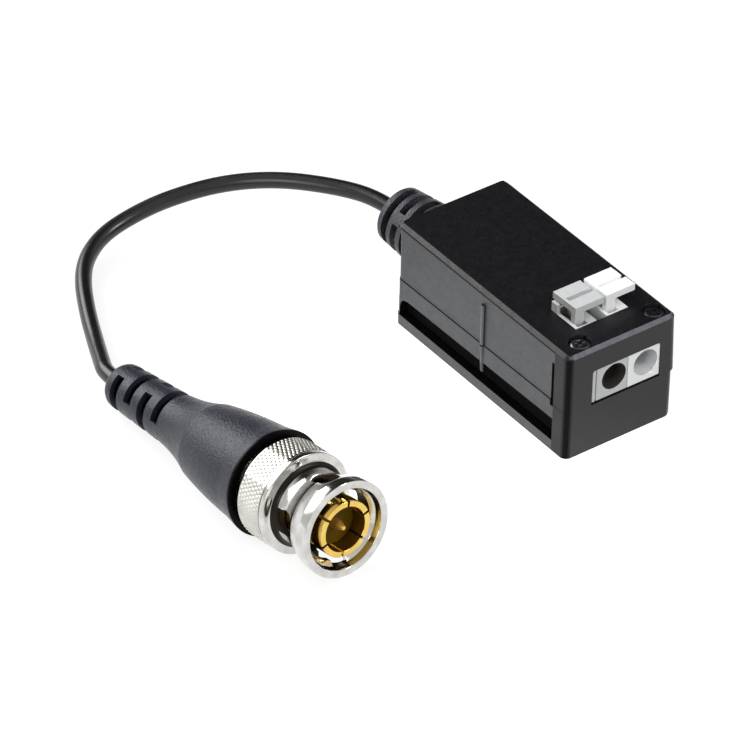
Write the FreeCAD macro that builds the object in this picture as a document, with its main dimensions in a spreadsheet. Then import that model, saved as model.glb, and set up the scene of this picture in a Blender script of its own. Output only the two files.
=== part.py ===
"""Passive video balun: moulded box with push-lever terminals, coaxial lead and bayonet plug.

Millimetres. The box stands on the XY plane with its origin under its centre. The wire
entries face -Y and the lead leaves at +Y. Pieces of the plug are modelled about the local Z
axis, with z counted back from the front of the coupling nut, and are then placed together.
"""

import FreeCAD, Part
import math
import os
import re

import Sketcher

Vec = FreeCAD.Vector

SIZES = {
    # Case
    "case_length": 37.7,
    "case_width": 18.28,
    "case_height": 16.6,
    "upper_depth": 9.2,
    "wall": 1.4,
    "top_chamfer": 0.6,
    "corner_radius": 1.05,
    "upper_lean": 0.3,
    "lower_lean": 0.24,
    "lower_step": 0.33,
    "foot_radius": 0.9,
    "panel_depth": 0.6,
    "brow_height": 0.2,
    "front_block": 2.9,
    "cove_radius": 1.65,
    "cove_height": 3.25,
    "cove_offset": 0.3,
    "rib_width": 0.75,
    "rib_relief": 0.35,
    "rib_bottom": 3.1,
    "rib_drop": 2.6,
    "panel_slot_width": 0.3,
    "panel_slot_drop": 3.04,
    "tongue": 0.6,
    "tongue_height": 0.9,
    "shell_gap": 0.05,
    # Case screws
    "screw_left_x": -5.557,
    "screw_right_x": 6.673,
    "screw_setback": 2.34,
    "screw_head_radius": 1.55,
    "screw_head_height": 0.75,
    "screw_head_sink": 0.3,
    "screw_shank_radius": 0.7,
    "screw_length": 12.0,
    "screw_clearance": 0.04,
    "screw_boss_radius": 1.45,
    "screw_drive_width": 0.32,
    "screw_drive_length": 1.9,
    "screw_drive_depth": 0.5,
    # Terminals
    "wire_entry_x": -1.328,
    "wire_entry_drop": 6.04,
    "terminal_pitch": 5.246,
    "lever_pitch": 5.134,
    "wire_mouth_radius": 1.98,
    "wire_bore_radius": 1.5,
    "wire_funnel_depth": 1.6,
    "window_left": -5.02,
    "window_right": 6.317,
    "window_brow": 3.69,
    "window_corner": 0.5,
    "fascia_sink": 0.12,
    "fascia_depth": 0.75,
    "fascia_gap": 0.06,
    "end_plate_width": 0.76,
    "part_gap": 0.03,
    "pole_left": 2.93,
    "pole_right": 1.88,
    "pole_tail": 1.14,
    "pole_roof_gap": 0.2,
    "opening_setback": 4.72,
    "opening_length": 5.39,
    "opening_left": -4.357,
    "opening_right": 4.39,
    "tower_left": 2.978,
    "tower_right": 0.529,
    "tower_clearance": 0.08,
    "tower_side": 0.5,
    "post_length": 1.32,
    "post_stand": 1.4,
    "chamber_side": 0.6,
    "chamber_start": 0.83,
    "chamber_wall": 0.8,
    "chamber_roof": 0.34,
    # Levers
    "lever_hinge_setback": 1.0,
    "lever_hinge_drop": 1.1,
    "lever_pin_radius": 0.6,
    "lever_pin_clearance": 0.05,
    "lever_pin_reach": 0.35,
    "lever_eye_radius": 0.95,
    "lever_eye_clearance": 0.1,
    "lever_leg_width": 1.515,
    "lever_side_gap": 0.06,
    "lever_plate_width": 4.474,
    "lever_front_gap": 0.96,
    "lever_overhang": 0.45,
    "lever_stand": 2.37,
    "lever_plate_rise": 0.14,
    "lever_plate_thickness": 1.0,
    "lever_groove_width": 0.42,
    "lever_groove_depth": 0.55,
    "lever_groove_setback": 2.54,
    "lever_groove_inset": 0.48,
    "lever_notch_length": 0.61,
    "lever_notch_depth": 0.4,
    "lever_ledge": 0.24,
    "lever_foot_rise": 0.29,
    "lever_slot_front": 0.5,
    # Contact bars and clamp springs
    "bar_thickness": 0.6,
    "bar_pin_width": 0.8,
    "bar_pin_setback": 1.8,
    "bar_seat": 1.9,
    "pin_stub": 1.0,
    "strip_thickness": 0.35,
    "strip_width": 2.4,
    # Circuit board and the parts on it
    "board_drop": 1.0,
    "board_thickness": 1.2,
    "board_side_gap": 0.05,
    "board_front_gap": 0.25,
    "board_back_room": 1.55,
    "board_hole_clearance": 0.05,
    "core_x": 0.0,
    "core_outer_radius": 4.6,
    "core_inner_radius": 2.2,
    "core_height": 3.6,
    "winding_thickness": 0.5,
    "winding_angle": 115.0,
    "lead_radius": 0.3,
    "suppressor_radius": 1.3,
    "suppressor_length": 5.0,
    "suppressor_span": 8.0,
    "capacitor_inset": 1.9,
    "capacitor_setback": 4.3,
    "capacitor_width": 2.4,
    "capacitor_length": 5.0,
    "capacitor_height": 4.2,
    "capacitor_span": 3.6,
    "resistor_inset": 2.0,
    "resistor_setback": 4.3,
    "resistor_radius": 0.9,
    "resistor_length": 3.4,
    "resistor_span": 5.6,
    # Lead and its strain relief
    "cable_radius": 1.175,
    "gland_x": -0.04,
    "gland_rise": 0.22,
    "gland_length": 11.2,
    "gland_root_radius": 5.25,
    "gland_end_radius": 3.95,
    "gland_end_round": 0.8,
    "gland_yaw": 6.0,
    "gland_pitch": 2.5,
    "gland_neck_radius": 3.3,
    "gland_flange_radius": 4.3,
    "gland_flange_thickness": 1.2,
    "gland_slot_width": 0.85,
    "gland_slot_core": 2.0,
    "gland_slot_first": 5.3,
    "gland_slot_second": 7.4,
    "gland_slot_third": 9.4,
    "gland_bridge": 2.6,
    "gland_bridge_angle": 38.0,
    "gland_lead_inside": 6.8,
    "core_wire_radius": 0.3,
    # Plug, counted back from the front of the coupling nut
    "plug_x": -48.04,
    "plug_y": -23.6,
    "plug_z": 9.37,
    "plug_yaw": 2.0,
    "plug_pitch": 7.4,
    "nut_lip_radius": 6.75,
    "nut_lip_length": 1.5,
    "nut_flare_radius": 6.2,
    "nut_flare_end": 3.5,
    "nut_waist_curve": 6.5,
    "nut_waist_radius": 5.3,
    "nut_waist_start": 6.1,
    "nut_waist_end": 7.35,
    "nut_rim_radius": 7.05,
    "nut_rim_start": 8.4,
    "nut_groove_start": 9.15,
    "nut_groove_width": 0.25,
    "nut_groove_depth": 0.25,
    "nut_band_radius": 7.1,
    "nut_length": 14.1,
    "nut_back_chamfer": 0.35,
    "nut_mouth_radius": 5.75,
    "nut_mouth_depth": 1.0,
    "nut_bore_radius": 4.9,
    "nut_cavity_radius": 6.2,
    "nut_cavity_start": 9.0,
    "nut_cavity_end": 13.2,
    "running_gap": 0.08,
    "cam_entry_angle": 97.0,
    "cam_entry_width": 2.3,
    "cam_opening_angle": 91.0,
    "cam_opening_width": 2.6,
    "cam_opening_start": 1.95,
    "cam_opening_end": 5.75,
    "cam_track_radius": 5.6,
    "cam_track_width": 2.1,
    "cam_track_start": 3.1,
    "cam_track_end": 5.2,
    "cam_lock_angle": 184.0,
    "cam_lock_radius": 1.7,
    "cam_lock_place": 5.5,
    "contact_outer_radius": 3.94,
    "contact_inner_radius": 3.1,
    "contact_seat_radius": 4.1,
    "contact_front": 0.1,
    "contact_flange_radius": 4.55,
    "contact_flange_start": 8.4,
    "contact_flange_end": 9.0,
    "contact_back": 12.0,
    "contact_slits": 6,
    "contact_slit_width": 0.35,
    "contact_slit_end": 6.0,
    "contact_slit_angle": 43.0,
    "contact_seam_angle": 5.5,
    "insulator_front": 2.5,
    "insulator_back": 12.0,
    "pin_radius": 0.68,
    "pin_tip_radius": 0.28,
    "pin_tip": 0.4,
    "pin_shoulder": 2.3,
    "pin_back": 13.4,
    "gasket_radius": 4.8,
    "gasket_front": 7.5,
    "body_nose_radius": 4.75,
    "body_flange_radius": 5.9,
    "body_flange_thickness": 1.2,
    "body_neck_radius": 4.35,
    "body_collar_radius": 6.3,
    "body_collar_thickness": 1.2,
    "body_back_radius": 5.0,
    "body_back_end": 20.0,
    "spigot_radius": 1.9,
    "spigot_bore": 0.9,
    "spigot_end": 27.2,
    "ferrule_radius": 2.5,
    "washer_thickness": 0.5,
    "washer_radius": 6.1,
    "wave_thickness": 0.35,
    "wave_count": 3,
    "wave_margin": 0.2,
    "wave_seat_gap": 0.04,
    "nut_float": 0.8,
    "boot_front": 15.0,
    "boot_front_radius": 7.5,
    "boot_grip": 18.0,
    "boot_grip_radius": 6.95,
    "boot_shoulder": 28.5,
    "boot_shoulder_radius": 5.5,
    "boot_bulge": 74.0,
    "boot_neck": 37.9,
    "boot_neck_radius": 3.6,
    "boot_sweep": 26.0,
    "boot_end": 48.5,
    "boot_end_radius": 3.1,
    "boot_end_round": 1.0,
    "boot_slot_width": 0.95,
    "boot_slot_core": 1.9,
    "boot_slot_first": 36.7,
    "boot_slot_step": 3.2,
    "boot_bridge": 2.6,
    "boot_bridge_angle": 84.0,
}

# Route of the lead between the strain relief and the boot, chosen by hand
CABLE_ROUTE = [
    (-3.94, 39.5, 8.15),
    (-8.74, 46.9, 7.1),
    (-14.54, 52.1, 5.7),
    (-21.44, 54.9, 4.3),
    (-26.84, 55.8, 3.15),
    (-32.24, 55.3, 2.3),
    (-36.64, 52.8, 1.75),
    (-39.94, 48.9, 1.45),
    (-43.44, 42.3, 1.3),
    (-46.04, 36.6, 1.4),
    (-48.34, 31.7, 2.1),
]
FIRST_RUN = 3.6
LAST_RUN = 3.9

# Places that follow from the sizes, as further cells of the sheet
PLACES = {
    "parting_height": "case_height - upper_depth",
    "inner_left": "-case_width / 2 - cove_offset + cove_radius + wall",
    "inner_right": "case_width / 2 - upper_lean - wall - shell_gap - tongue",
    "rib_top": "case_height - rib_drop",
    "panel_slot_top": "case_height - panel_slot_drop",
    "gland_z": "parting_height + gland_rise",
    "window_top": "case_height - window_brow",
    "wire_entry_z": "case_height - wire_entry_drop",
    "opening_front_y": "-case_length / 2 + opening_setback",
    "opening_back_y": "opening_front_y + opening_length",
    "pole_back_y": "opening_back_y + pole_tail",
    "pole_top": "case_height - wall - pole_roof_gap",
    "post_front_y": "opening_back_y - post_length",
    "post_top": "case_height + post_stand",
    "chamber_front_y": "opening_front_y + chamber_start",
    "chamber_back_y": "pole_back_y - chamber_wall",
    "chamber_top": "wire_entry_z + wire_bore_radius + chamber_roof",
    "lever_hinge_y": "chamber_back_y - lever_hinge_setback",
    "lever_hinge_z": "case_height - wall - lever_hinge_drop",
    "lever_front_y": "opening_front_y + lever_front_gap",
    "lever_back_y": "opening_back_y + lever_overhang",
    "lever_plate_top": "case_height + lever_stand",
    "lever_groove_y": "lever_back_y - lever_groove_setback",
    "lever_foot_z": "wire_entry_z + lever_foot_rise",
    "board_top": "parting_height - board_drop",
    "board_left": "inner_left + board_side_gap",
    "board_right": "inner_right - board_side_gap",
    "board_front_y": "-case_length / 2 + wall + board_front_gap",
    "board_back_y": "case_length / 2 - wall - board_back_room",
    "bar_pin_y": "chamber_back_y - bar_pin_setback",
    "bar_floor": "board_top + bar_seat",
    "capacitor_x": "board_left + capacitor_inset",
    "capacitor_y": "board_back_y - capacitor_setback",
    "resistor_x": "board_right - resistor_inset",
    "resistor_y": "board_back_y - resistor_setback",
    "winding_reach": "core_outer_radius + winding_thickness",
    "part_space": "(capacitor_y - capacitor_length / 2 - pole_back_y"
                  " - 2 * suppressor_radius - 2 * winding_reach) / 3",
    "suppressor_y": "pole_back_y + part_space + suppressor_radius",
    "core_y": "suppressor_y + suppressor_radius + part_space + winding_reach",
}

doc = FreeCAD.newDocument("video_balun")
dims = doc.addObject("Spreadsheet::Sheet", "dims")
CELLS = {name: str(value) for name, value in SIZES.items()}
CELLS.update({name: f"={text}" for name, text in PLACES.items()})
for row, (name, content) in enumerate(CELLS.items(), start=1):
    dims.set(f"A{row}", name)
    dims.set(f"B{row}", content)
    dims.setAlias(f"B{row}", name)
doc.recompute()

SIZE_NAMES = re.compile(r"\b(" + "|".join(sorted(CELLS, key=len, reverse=True)) + r")\b")
NODES = []


def formula(text):
    """Point each size name in a formula at its cell of the sheet."""
    return SIZE_NAMES.sub(r"dims.\1", str(text))


def number(text):
    """Value of a formula over the sheet's sizes."""
    return float(dims.evalExpression(formula(text)))


def bind(obj, **sizes):
    """Bind properties of an object to formulas over the sheet."""
    for prop, text in sizes.items():
        obj.setExpression(prop.replace("__", "."), formula(text))
    return obj


def keep(label, obj):
    """Name a finished sub-part and put it on the list of nodes."""
    doc.recompute()
    obj.Label = label
    NODES.append(obj)
    return obj


# Primitives and booleans, with sizes and places as formulas


def block(name, x, y, z):
    """Box between two formulas along each axis."""
    obj = doc.addObject("Part::Box", name)
    bind(obj, Length=f"({x[1]}) - ({x[0]})", Width=f"({y[1]}) - ({y[0]})", Height=f"({z[1]}) - ({z[0]})")
    return bind(obj, Placement__Base__x=x[0], Placement__Base__y=y[0], Placement__Base__z=z[0])


TURNS = {
    "X": FreeCAD.Rotation(Vec(0, 1, 0), 90),
    "Y": FreeCAD.Rotation(Vec(1, 0, 0), -90),
    "Z": FreeCAD.Rotation(),
}


def rod(name, radius, length, at, axis="Z"):
    """Cylinder that starts at a point and runs along a positive axis."""
    obj = doc.addObject("Part::Cylinder", name)
    obj.Placement = FreeCAD.Placement(Vec(), TURNS[axis])
    bind(obj, Radius=radius, Height=length)
    return bind(obj, Placement__Base__x=at[0], Placement__Base__y=at[1], Placement__Base__z=at[2])


def taper(name, radius_start, radius_end, length, at, axis="Z"):
    """Cone that starts at a point and runs along a positive axis."""
    obj = doc.addObject("Part::Cone", name)
    obj.Placement = FreeCAD.Placement(Vec(), TURNS[axis])
    bind(obj, Radius1=radius_start, Radius2=radius_end, Height=length)
    return bind(obj, Placement__Base__x=at[0], Placement__Base__y=at[1], Placement__Base__z=at[2])


def fuse(name, *shapes):
    """Union of several objects."""
    obj = doc.addObject("Part::MultiFuse", name)
    obj.Shapes = list(shapes)
    return obj


def common(name, first, second):
    """Intersection of two objects."""
    obj = doc.addObject("Part::Common", name)
    obj.Base, obj.Tool = first, second
    return obj


def cut(name, base, *tools):
    """One object less one or several others."""
    obj = doc.addObject("Part::Cut", name)
    obj.Base = base
    obj.Tool = tools[0] if len(tools) == 1 else fuse(f"{name}_tools", *tools)
    return obj


def turned_about_z(obj, angle):
    """Turn a placed object about the Z axis through the origin."""
    doc.recompute()
    place = FreeCAD.Placement(obj.Placement)
    for axis in "xyz":
        obj.setExpression(f"Placement.Base.{axis}", None)
    obj.Placement = FreeCAD.Placement(Vec(), FreeCAD.Rotation(Vec(0, 0, 1), angle)) * place
    return obj


# Sketches and PartDesign bodies


def sketch_on(body, role, corners, closed_arcs=None):
    """Sketch on one of a body's origin planes; each corner is a pair of formulas.

    closed_arcs names the sides that are arcs: side number to a formula for the radius,
    negative where the arc's centre lies to the right of the way round.
    """
    arcs = closed_arcs or {}
    sketch = body.newObject("Sketcher::SketchObject", f"{body.Name}_profile")
    plane = next(f for f in body.Origin.OriginFeatures if f.Role == role)
    sketch.AttachmentSupport = (plane, "")
    sketch.MapMode = "FlatFace"
    points = [Vec(number(u), number(v), 0) for u, v in corners]
    count = len(points)
    for side in range(count):
        start, end = points[side], points[(side + 1) % count]
        if side not in arcs:
            sketch.addGeometry(Part.LineSegment(start, end), False)
            continue
        radius = number(arcs[side])
        chord = end - start
        half = chord.Length / 2
        across = Vec(-chord.y, chord.x, 0).normalize()
        rise = math.sqrt(max(radius * radius - half * half, 0.0)) * math.copysign(1, radius)
        centre = (start + end) * 0.5 + across * rise
        bulge = centre - across * abs(radius) * math.copysign(1, radius)
        sketch.addGeometry(Part.Arc(start, bulge, end), False)
    for side in range(count):
        following = (side + 1) % count
        first_end = 2 if side not in arcs or number(arcs[side]) > 0 else 1
        next_start = 1 if following not in arcs or number(arcs[following]) > 0 else 2
        sketch.addConstraint(Sketcher.Constraint("Coincident", side, first_end, following, next_start))
    for side, (u, v) in enumerate(corners):
        vertex = 1 if side not in arcs or number(arcs[side]) > 0 else 2
        across = sketch.addConstraint(Sketcher.Constraint("DistanceX", -1, 1, side, vertex, points[side].x))
        upward = sketch.addConstraint(Sketcher.Constraint("DistanceY", -1, 1, side, vertex, points[side].y))
        sketch.setExpression(f"Constraints[{across}]", formula(u))
        sketch.setExpression(f"Constraints[{upward}]", formula(v))
        if side in arcs:
            size = sketch.addConstraint(Sketcher.Constraint("Radius", side, abs(number(arcs[side]))))
            sketch.setExpression(f"Constraints[{size}]", formula(f"abs({arcs[side]})"))
    doc.recompute()
    return sketch


def padded(name, role, corners, length, arcs=None, start=None):
    """Body padded from a sketch: midway on its plane, or from a start offset along the normal."""
    body = doc.addObject("PartDesign::Body", name)
    sketch = sketch_on(body, role, corners, arcs)
    if start is not None:
        sketch.setExpression("AttachmentOffset.Base.z", formula(start))
    pad = body.newObject("PartDesign::Pad", f"{name}_pad")
    pad.Profile = sketch
    bind(pad, Length=length)
    pad.Midplane = start is None
    doc.recompute()
    return body


def revolved(name, corners, arcs=None, angle="360"):
    """Body turned about the Z axis from corners given as (radius, height) formulas."""
    body = doc.addObject("PartDesign::Body", name)
    sketch = sketch_on(body, "XZ_Plane", corners, arcs)
    turn = body.newObject("PartDesign::Revolution", f"{name}_turn")
    turn.Profile = sketch
    turn.ReferenceAxis = (sketch, ["V_Axis"])
    bind(turn, Angle=angle)
    doc.recompute()
    return body


def tube(name, inner, outer, start, end):
    """Turned ring between two radii and two heights."""
    return revolved(name, [(inner, start), (outer, start), (outer, end), (inner, end)])


def edge_names(shape, test):
    """Names of the edges that pass a test."""
    return [f"Edge{i}" for i, edge in enumerate(shape.Edges, start=1) if test(edge)]


def upright(edge):
    """Whether an edge runs mostly along Z."""
    way = edge.Vertexes[-1].Point - edge.Vertexes[0].Point
    return way.Length > 0 and abs(way.z) > 0.9 * way.Length


def rounded_prism(name, x, y, z, radius):
    """Upright block with rounded vertical corners."""
    corners = [(x[0], y[0]), (x[1], y[0]), (x[1], y[1]), (x[0], y[1])]
    body = padded(name, "XY_Plane", corners, f"({z[1]}) - ({z[0]})", start=z[0])
    pad = body.Tip
    feature = body.newObject("PartDesign::Fillet", f"{name}_corners")
    feature.Base = (pad, edge_names(pad.Shape, upright))
    bind(feature, Radius=radius)
    doc.recompute()
    return body


def bent_wire(points, radius):
    """Solid round wire along straight runs joined by tangent arcs, and the arcs' radii."""
    edges, radii = [], []
    start = points[0]
    for before, corner, after in zip(points, points[1:], points[2:]):
        way_in = (corner - before).normalize()
        way_out = (after - corner).normalize()
        half_turn = way_in.getAngle(way_out) / 2
        reach = 0.45 * min((corner - before).Length, (after - corner).Length)
        radii.append(reach / math.tan(half_turn))
        arc_start = corner - way_in * reach
        arc_end = corner + way_out * reach
        to_centre = (way_out - way_in).normalize()
        middle = corner + to_centre * radii[-1] * (1 / math.cos(half_turn) - 1)
        edges.append(Part.LineSegment(start, arc_start).toShape())
        edges.append(Part.Arc(arc_start, middle, arc_end).toShape())
        start = arc_end
    edges.append(Part.LineSegment(start, points[-1]).toShape())
    path = Part.Wire(edges)
    section = Part.Wire(Part.Circle(points[0], points[1] - points[0], radius).toShape())
    return path.makePipeShell([section], True, False), radii, path.Length


# Case

CASE_FRONT = "-case_length / 2"
CASE_BACK = "case_length / 2"
CASE_LEFT = "-case_width / 2"
CASE_RIGHT = "case_width / 2"
PANEL_X = "-case_width / 2 + panel_depth"
PANEL_FRONT = "-case_length / 2 + front_block"
SCREW_Y = "-case_length / 2 + screw_setback"
SCREW_TIP = "case_height - screw_head_sink - screw_head_height - screw_length"
UPPER_INNER_LEFT = "-case_width / 2 + panel_depth + wall"
UPPER_INNER_RIGHT = "case_width / 2 - upper_lean - wall"
LOWER_INNER_LEFT = "inner_left"
LOWER_INNER_RIGHT = "inner_right"
POLE_ENVELOPE = (
    ("wire_entry_x - pole_left - 0.1", "wire_entry_x + terminal_pitch + pole_right + 0.04"),
    ("-case_length / 2 + wall", "pole_back_y + 1"),
)
GLAND_Z = "gland_z"
OUT = 3.0


def screw_places():
    """The two screws: a short name and the formula for each one's X."""
    return (("left", "screw_left_x"), ("right", "screw_right_x"))


def gland_passage(name, radius):
    """Round passage for the strain relief's neck through the rear wall."""
    return rod(name, radius, "2 * wall", ("gland_x", "case_length / 2 - 1.5 * wall", GLAND_Z), "Y")


def panel_recess(name, bottom, top):
    """Cutter for the recessed left side, behind the solid front block."""
    slab = block(f"{name}_slab", (f"{CASE_LEFT} - {OUT}", f"{PANEL_X} + corner_radius"),
                 (PANEL_FRONT, f"{CASE_BACK} + {OUT}"), (bottom, top))
    keeper = rounded_prism(f"{name}_keeper", (PANEL_X, "0"), (f"{CASE_FRONT} - {OUT}", CASE_BACK),
                           (f"({bottom}) - 1", f"({top}) + 1"), "corner_radius")
    return cut(name, slab, keeper)


def side_rib(name, bottom, top):
    """Half-round rib up the middle of the left panel."""
    bar = rod(f"{name}_bar", "rib_width / 2", f"({top}) - ({bottom})", (PANEL_X, "-0.1", bottom))
    return bar


def fascia_outline(name, x, z, radius, start, length, rounded):
    """Upright plate or cutter in the nose, with rounded upper corners at the named sides."""
    corners = [(x[0], z[0]), (x[1], z[0])]
    arcs = {}
    for side, edge, inward in (("right", x[1], "-"), ("left", x[0], "+")):
        if side not in rounded:
            corners.append((edge, z[1]))
            continue
        beside = (f"({edge}) {inward} ({radius})", z[1])
        below = (edge, f"({z[1]}) - ({radius})")
        arcs[len(corners)] = radius
        corners += [below, beside] if side == "right" else [beside, below]
    return padded(name, "XZ_Plane", corners, length, arcs, start)


def upper_shell():
    """Top half of the case."""
    body = padded("upper_outer", "XZ_Plane", [
        (CASE_LEFT, "parting_height"),
        (CASE_RIGHT, "parting_height"),
        (f"{CASE_RIGHT} - upper_lean", "case_height"),
        (CASE_LEFT, "case_height"),
    ], "case_length")
    pad = body.Tip
    corners = body.newObject("PartDesign::Fillet", "upper_corners")
    corners.Base = (pad, edge_names(pad.Shape, upright))
    bind(corners, Radius="corner_radius")
    doc.recompute()
    top = number("case_height")
    rim = edge_names(corners.Shape, lambda e: all(abs(v.Z - top) < 1e-4 for v in e.Vertexes))
    bevel = body.newObject("PartDesign::Chamfer", "upper_bevel")
    bevel.Base = (corners, rim)
    bind(bevel, Size="top_chamfer")
    doc.recompute()

    hollow = block("upper_hollow", (UPPER_INNER_LEFT, UPPER_INNER_RIGHT),
                   (f"{CASE_FRONT} + wall", f"{CASE_BACK} - wall"),
                   ("parting_height - 1", "case_height - wall"))
    bosses = [rod(f"upper_boss_{side}", "screw_boss_radius", "case_height - parting_height",
                  (x, SCREW_Y, "parting_height")) for side, x in screw_places()]
    envelope = block("upper_pole_room", *POLE_ENVELOPE, ("parting_height - 1", "case_height - wall"))
    boss_group = cut("upper_bosses", fuse("upper_boss_pair", *bosses), envelope)
    cavity = cut("upper_cavity", hollow, boss_group)

    cutters = [
        cavity,
        panel_recess("upper_panel", "parting_height - 1", "case_height - top_chamfer - brow_height"),
        envelope,
        fascia_outline("window", ("window_left", "window_right"), ("parting_height - 1", "window_top"),
                       "window_corner", "case_length / 2 - wall - 0.5", "wall + 1.5", ("left", "right")),
        block("lever_opening", ("opening_left", "opening_right"), ("opening_front_y", "opening_back_y"),
              ("case_height - 2 * wall", "case_height + 1")),
        block("panel_slot", (f"{CASE_LEFT} - 1", f"{PANEL_X} + 0.5"),
              (PANEL_FRONT, f"{PANEL_FRONT} + panel_slot_width"), ("parting_height - 1", "panel_slot_top")),
        gland_passage("upper_gland_passage", "gland_neck_radius"),
    ]
    for side, x in screw_places():
        cutters.append(rod(f"head_well_{side}", "screw_head_radius + screw_clearance",
                           "screw_head_sink + screw_head_height + 1",
                           (x, SCREW_Y, "case_height - screw_head_sink - screw_head_height")))
        cutters.append(rod(f"shank_way_{side}", "screw_shank_radius + screw_clearance",
                           "case_height", (x, SCREW_Y, "parting_height - 1")))
    shell = cut("upper_cut", body, *cutters)
    rib = side_rib("upper_rib", "parting_height + 0.15", "rib_top")
    trimmed = cut("upper_rib_trim", rib, block("upper_rib_inside", (f"{PANEL_X} + 0.5", "0"), ("-2", "2"),
                                               ("parting_height", "case_height")))
    return keep("upper_shell", fuse("upper_shell_solid", shell, trimmed))


def lower_shell():
    """Bottom half of the case, with the lip and cove along its left foot."""
    profile = padded("lower_profile", "XZ_Plane", [
        (CASE_LEFT, "0"),
        (f"{CASE_RIGHT} - lower_step - lower_lean - foot_radius", "0"),
        (f"{CASE_RIGHT} - lower_step - lower_lean", "foot_radius"),
        (f"{CASE_RIGHT} - lower_step", "parting_height"),
        (CASE_LEFT, "parting_height"),
    ], "case_length", arcs={1: "foot_radius"})
    plan = rounded_prism("lower_plan", (CASE_LEFT, f"{CASE_RIGHT} - lower_step"), (CASE_FRONT, CASE_BACK),
                         ("-1", "parting_height + 1"), "corner_radius")
    outer = common("lower_outer", profile, plan)

    hollow = block("lower_hollow", (LOWER_INNER_LEFT, LOWER_INNER_RIGHT),
                   (f"{CASE_FRONT} + wall", f"{CASE_BACK} - wall"), ("wall", "parting_height + 1"))
    bosses = [rod(f"lower_boss_{side}", "screw_boss_radius", "parting_height", (x, SCREW_Y, "0"))
              for side, x in screw_places()]
    envelope = block("lower_pole_room", *POLE_ENVELOPE, ("board_top", "parting_height + 1"))
    boss_group = cut("lower_bosses", fuse("lower_boss_pair", *bosses), envelope)
    ledge_y = ("-12", "board_back_y")
    ledges = [
        block("ledge_left", (f"{LOWER_INNER_LEFT} - 0.5", f"{LOWER_INNER_LEFT} + 0.8"), ledge_y,
              ("wall / 2", "board_top - board_thickness")),
        block("ledge_right", (f"{LOWER_INNER_RIGHT} - 0.8", f"{LOWER_INNER_RIGHT} + 0.5"), ledge_y,
              ("wall / 2", "board_top - board_thickness")),
    ]
    cavity = cut("lower_cavity", hollow, boss_group, *ledges)
    cove = rod("cove", "cove_radius", "case_length",
               (f"{CASE_LEFT} - cove_offset", PANEL_FRONT, "cove_height"), "Y")
    cutters = [
        cavity,
        envelope,
        cove,
        panel_recess("lower_panel", "cove_height", "parting_height + 1"),
        gland_passage("lower_gland_passage", "gland_neck_radius"),
    ]
    for side, x in screw_places():
        cutters.append(rod(f"pilot_{side}", "screw_shank_radius", "case_height",
                           (x, SCREW_Y, f"{SCREW_TIP} - 0.5")))
    shell = cut("lower_cut", outer, *cutters)
    tongue_z = ("parting_height - 1", "parting_height + tongue_height")
    tongue_y = ("pole_back_y + 2", f"{CASE_BACK} - wall - 3")
    left = block("tongue_left", (f"{UPPER_INNER_LEFT} + shell_gap", LOWER_INNER_LEFT),
                 tongue_y, tongue_z)
    right = block("tongue_right", (LOWER_INNER_RIGHT, f"{UPPER_INNER_RIGHT} - shell_gap"),
                  tongue_y, tongue_z)
    rib = cut("lower_rib_trim", side_rib("lower_rib", "rib_bottom", "parting_height - 0.15"),
              block("lower_rib_inside", (f"{PANEL_X} + 0.5", "0"), ("-2", "2"), ("0", "parting_height")))
    return keep("lower_shell", fuse("lower_shell_solid", shell, left, right, rib))


def case_screws():
    """The two cross-head screws, as two solids in one node."""
    screws = []
    for side, x in screw_places():
        under = "case_height - screw_head_sink - screw_head_height"
        shank = rod(f"shank_{side}", "screw_shank_radius", "screw_length + 0.2",
                    (x, SCREW_Y, f"{under} - screw_length"))
        head = rod(f"head_{side}", "screw_head_radius", "screw_head_height", (x, SCREW_Y, under))
        floor = "case_height - screw_head_sink - screw_drive_depth"
        half, thin = "screw_drive_length / 2", "screw_drive_width / 2"
        slots = [
            block(f"drive_a_{side}", (f"{x} - {half}", f"{x} + {half}"),
                  (f"{SCREW_Y} - {thin}", f"{SCREW_Y} + {thin}"), (floor, "case_height")),
            block(f"drive_b_{side}", (f"{x} - {thin}", f"{x} + {thin}"),
                  (f"{SCREW_Y} - {half}", f"{SCREW_Y} + {half}"), (floor, "case_height")),
        ]
        screws.append(cut(f"screw_{side}", fuse(f"screw_blank_{side}", shank, head), *slots))
    pair = doc.addObject("Part::Compound", "screw_pair")
    pair.Links = screws
    return keep("case_screws", pair)


# Terminals


def pole_x(white):
    """Formulas for the wire centre's X and the lever's shift along X of one pole."""
    if white:
        return "wire_entry_x + terminal_pitch", "lever_pitch"
    return "wire_entry_x", "0"


def fascia_x(white):
    """Left and right edges of one pole's front face."""
    divide = "wire_entry_x + pole_left - 0.67"
    if white:
        return f"{divide} + part_gap / 2", "window_right - part_gap"
    return "window_left + end_plate_width + part_gap", f"{divide} - part_gap / 2"


FASCIA_Z = ("parting_height + fascia_gap", "window_top - part_gap")


def fascia(name, x, rounded):
    """Front plate of the terminal row, set back a little in the window."""
    return fascia_outline(name, x, FASCIA_Z, "window_corner - part_gap",
                          "case_length / 2 - fascia_sink - fascia_depth", "fascia_depth", rounded)


def tower_x(white):
    """Left and right edges of one pole's tower in the lever opening."""
    shift = pole_x(white)[1]
    return f"wire_entry_x - tower_left + {shift}", f"wire_entry_x + tower_right + {shift}"


def leg_x(white):
    """Left and right faces of one lever's leg."""
    left = f"{tower_x(white)[0]} + tower_side + lever_side_gap"
    return left, f"{left} + lever_leg_width"


def chamber_x(white):
    """Left and right walls of one pole's spring chamber."""
    centre = pole_x(white)[0]
    return f"{leg_x(white)[0]} - lever_side_gap", f"{centre} + pole_right - chamber_side"


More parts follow.
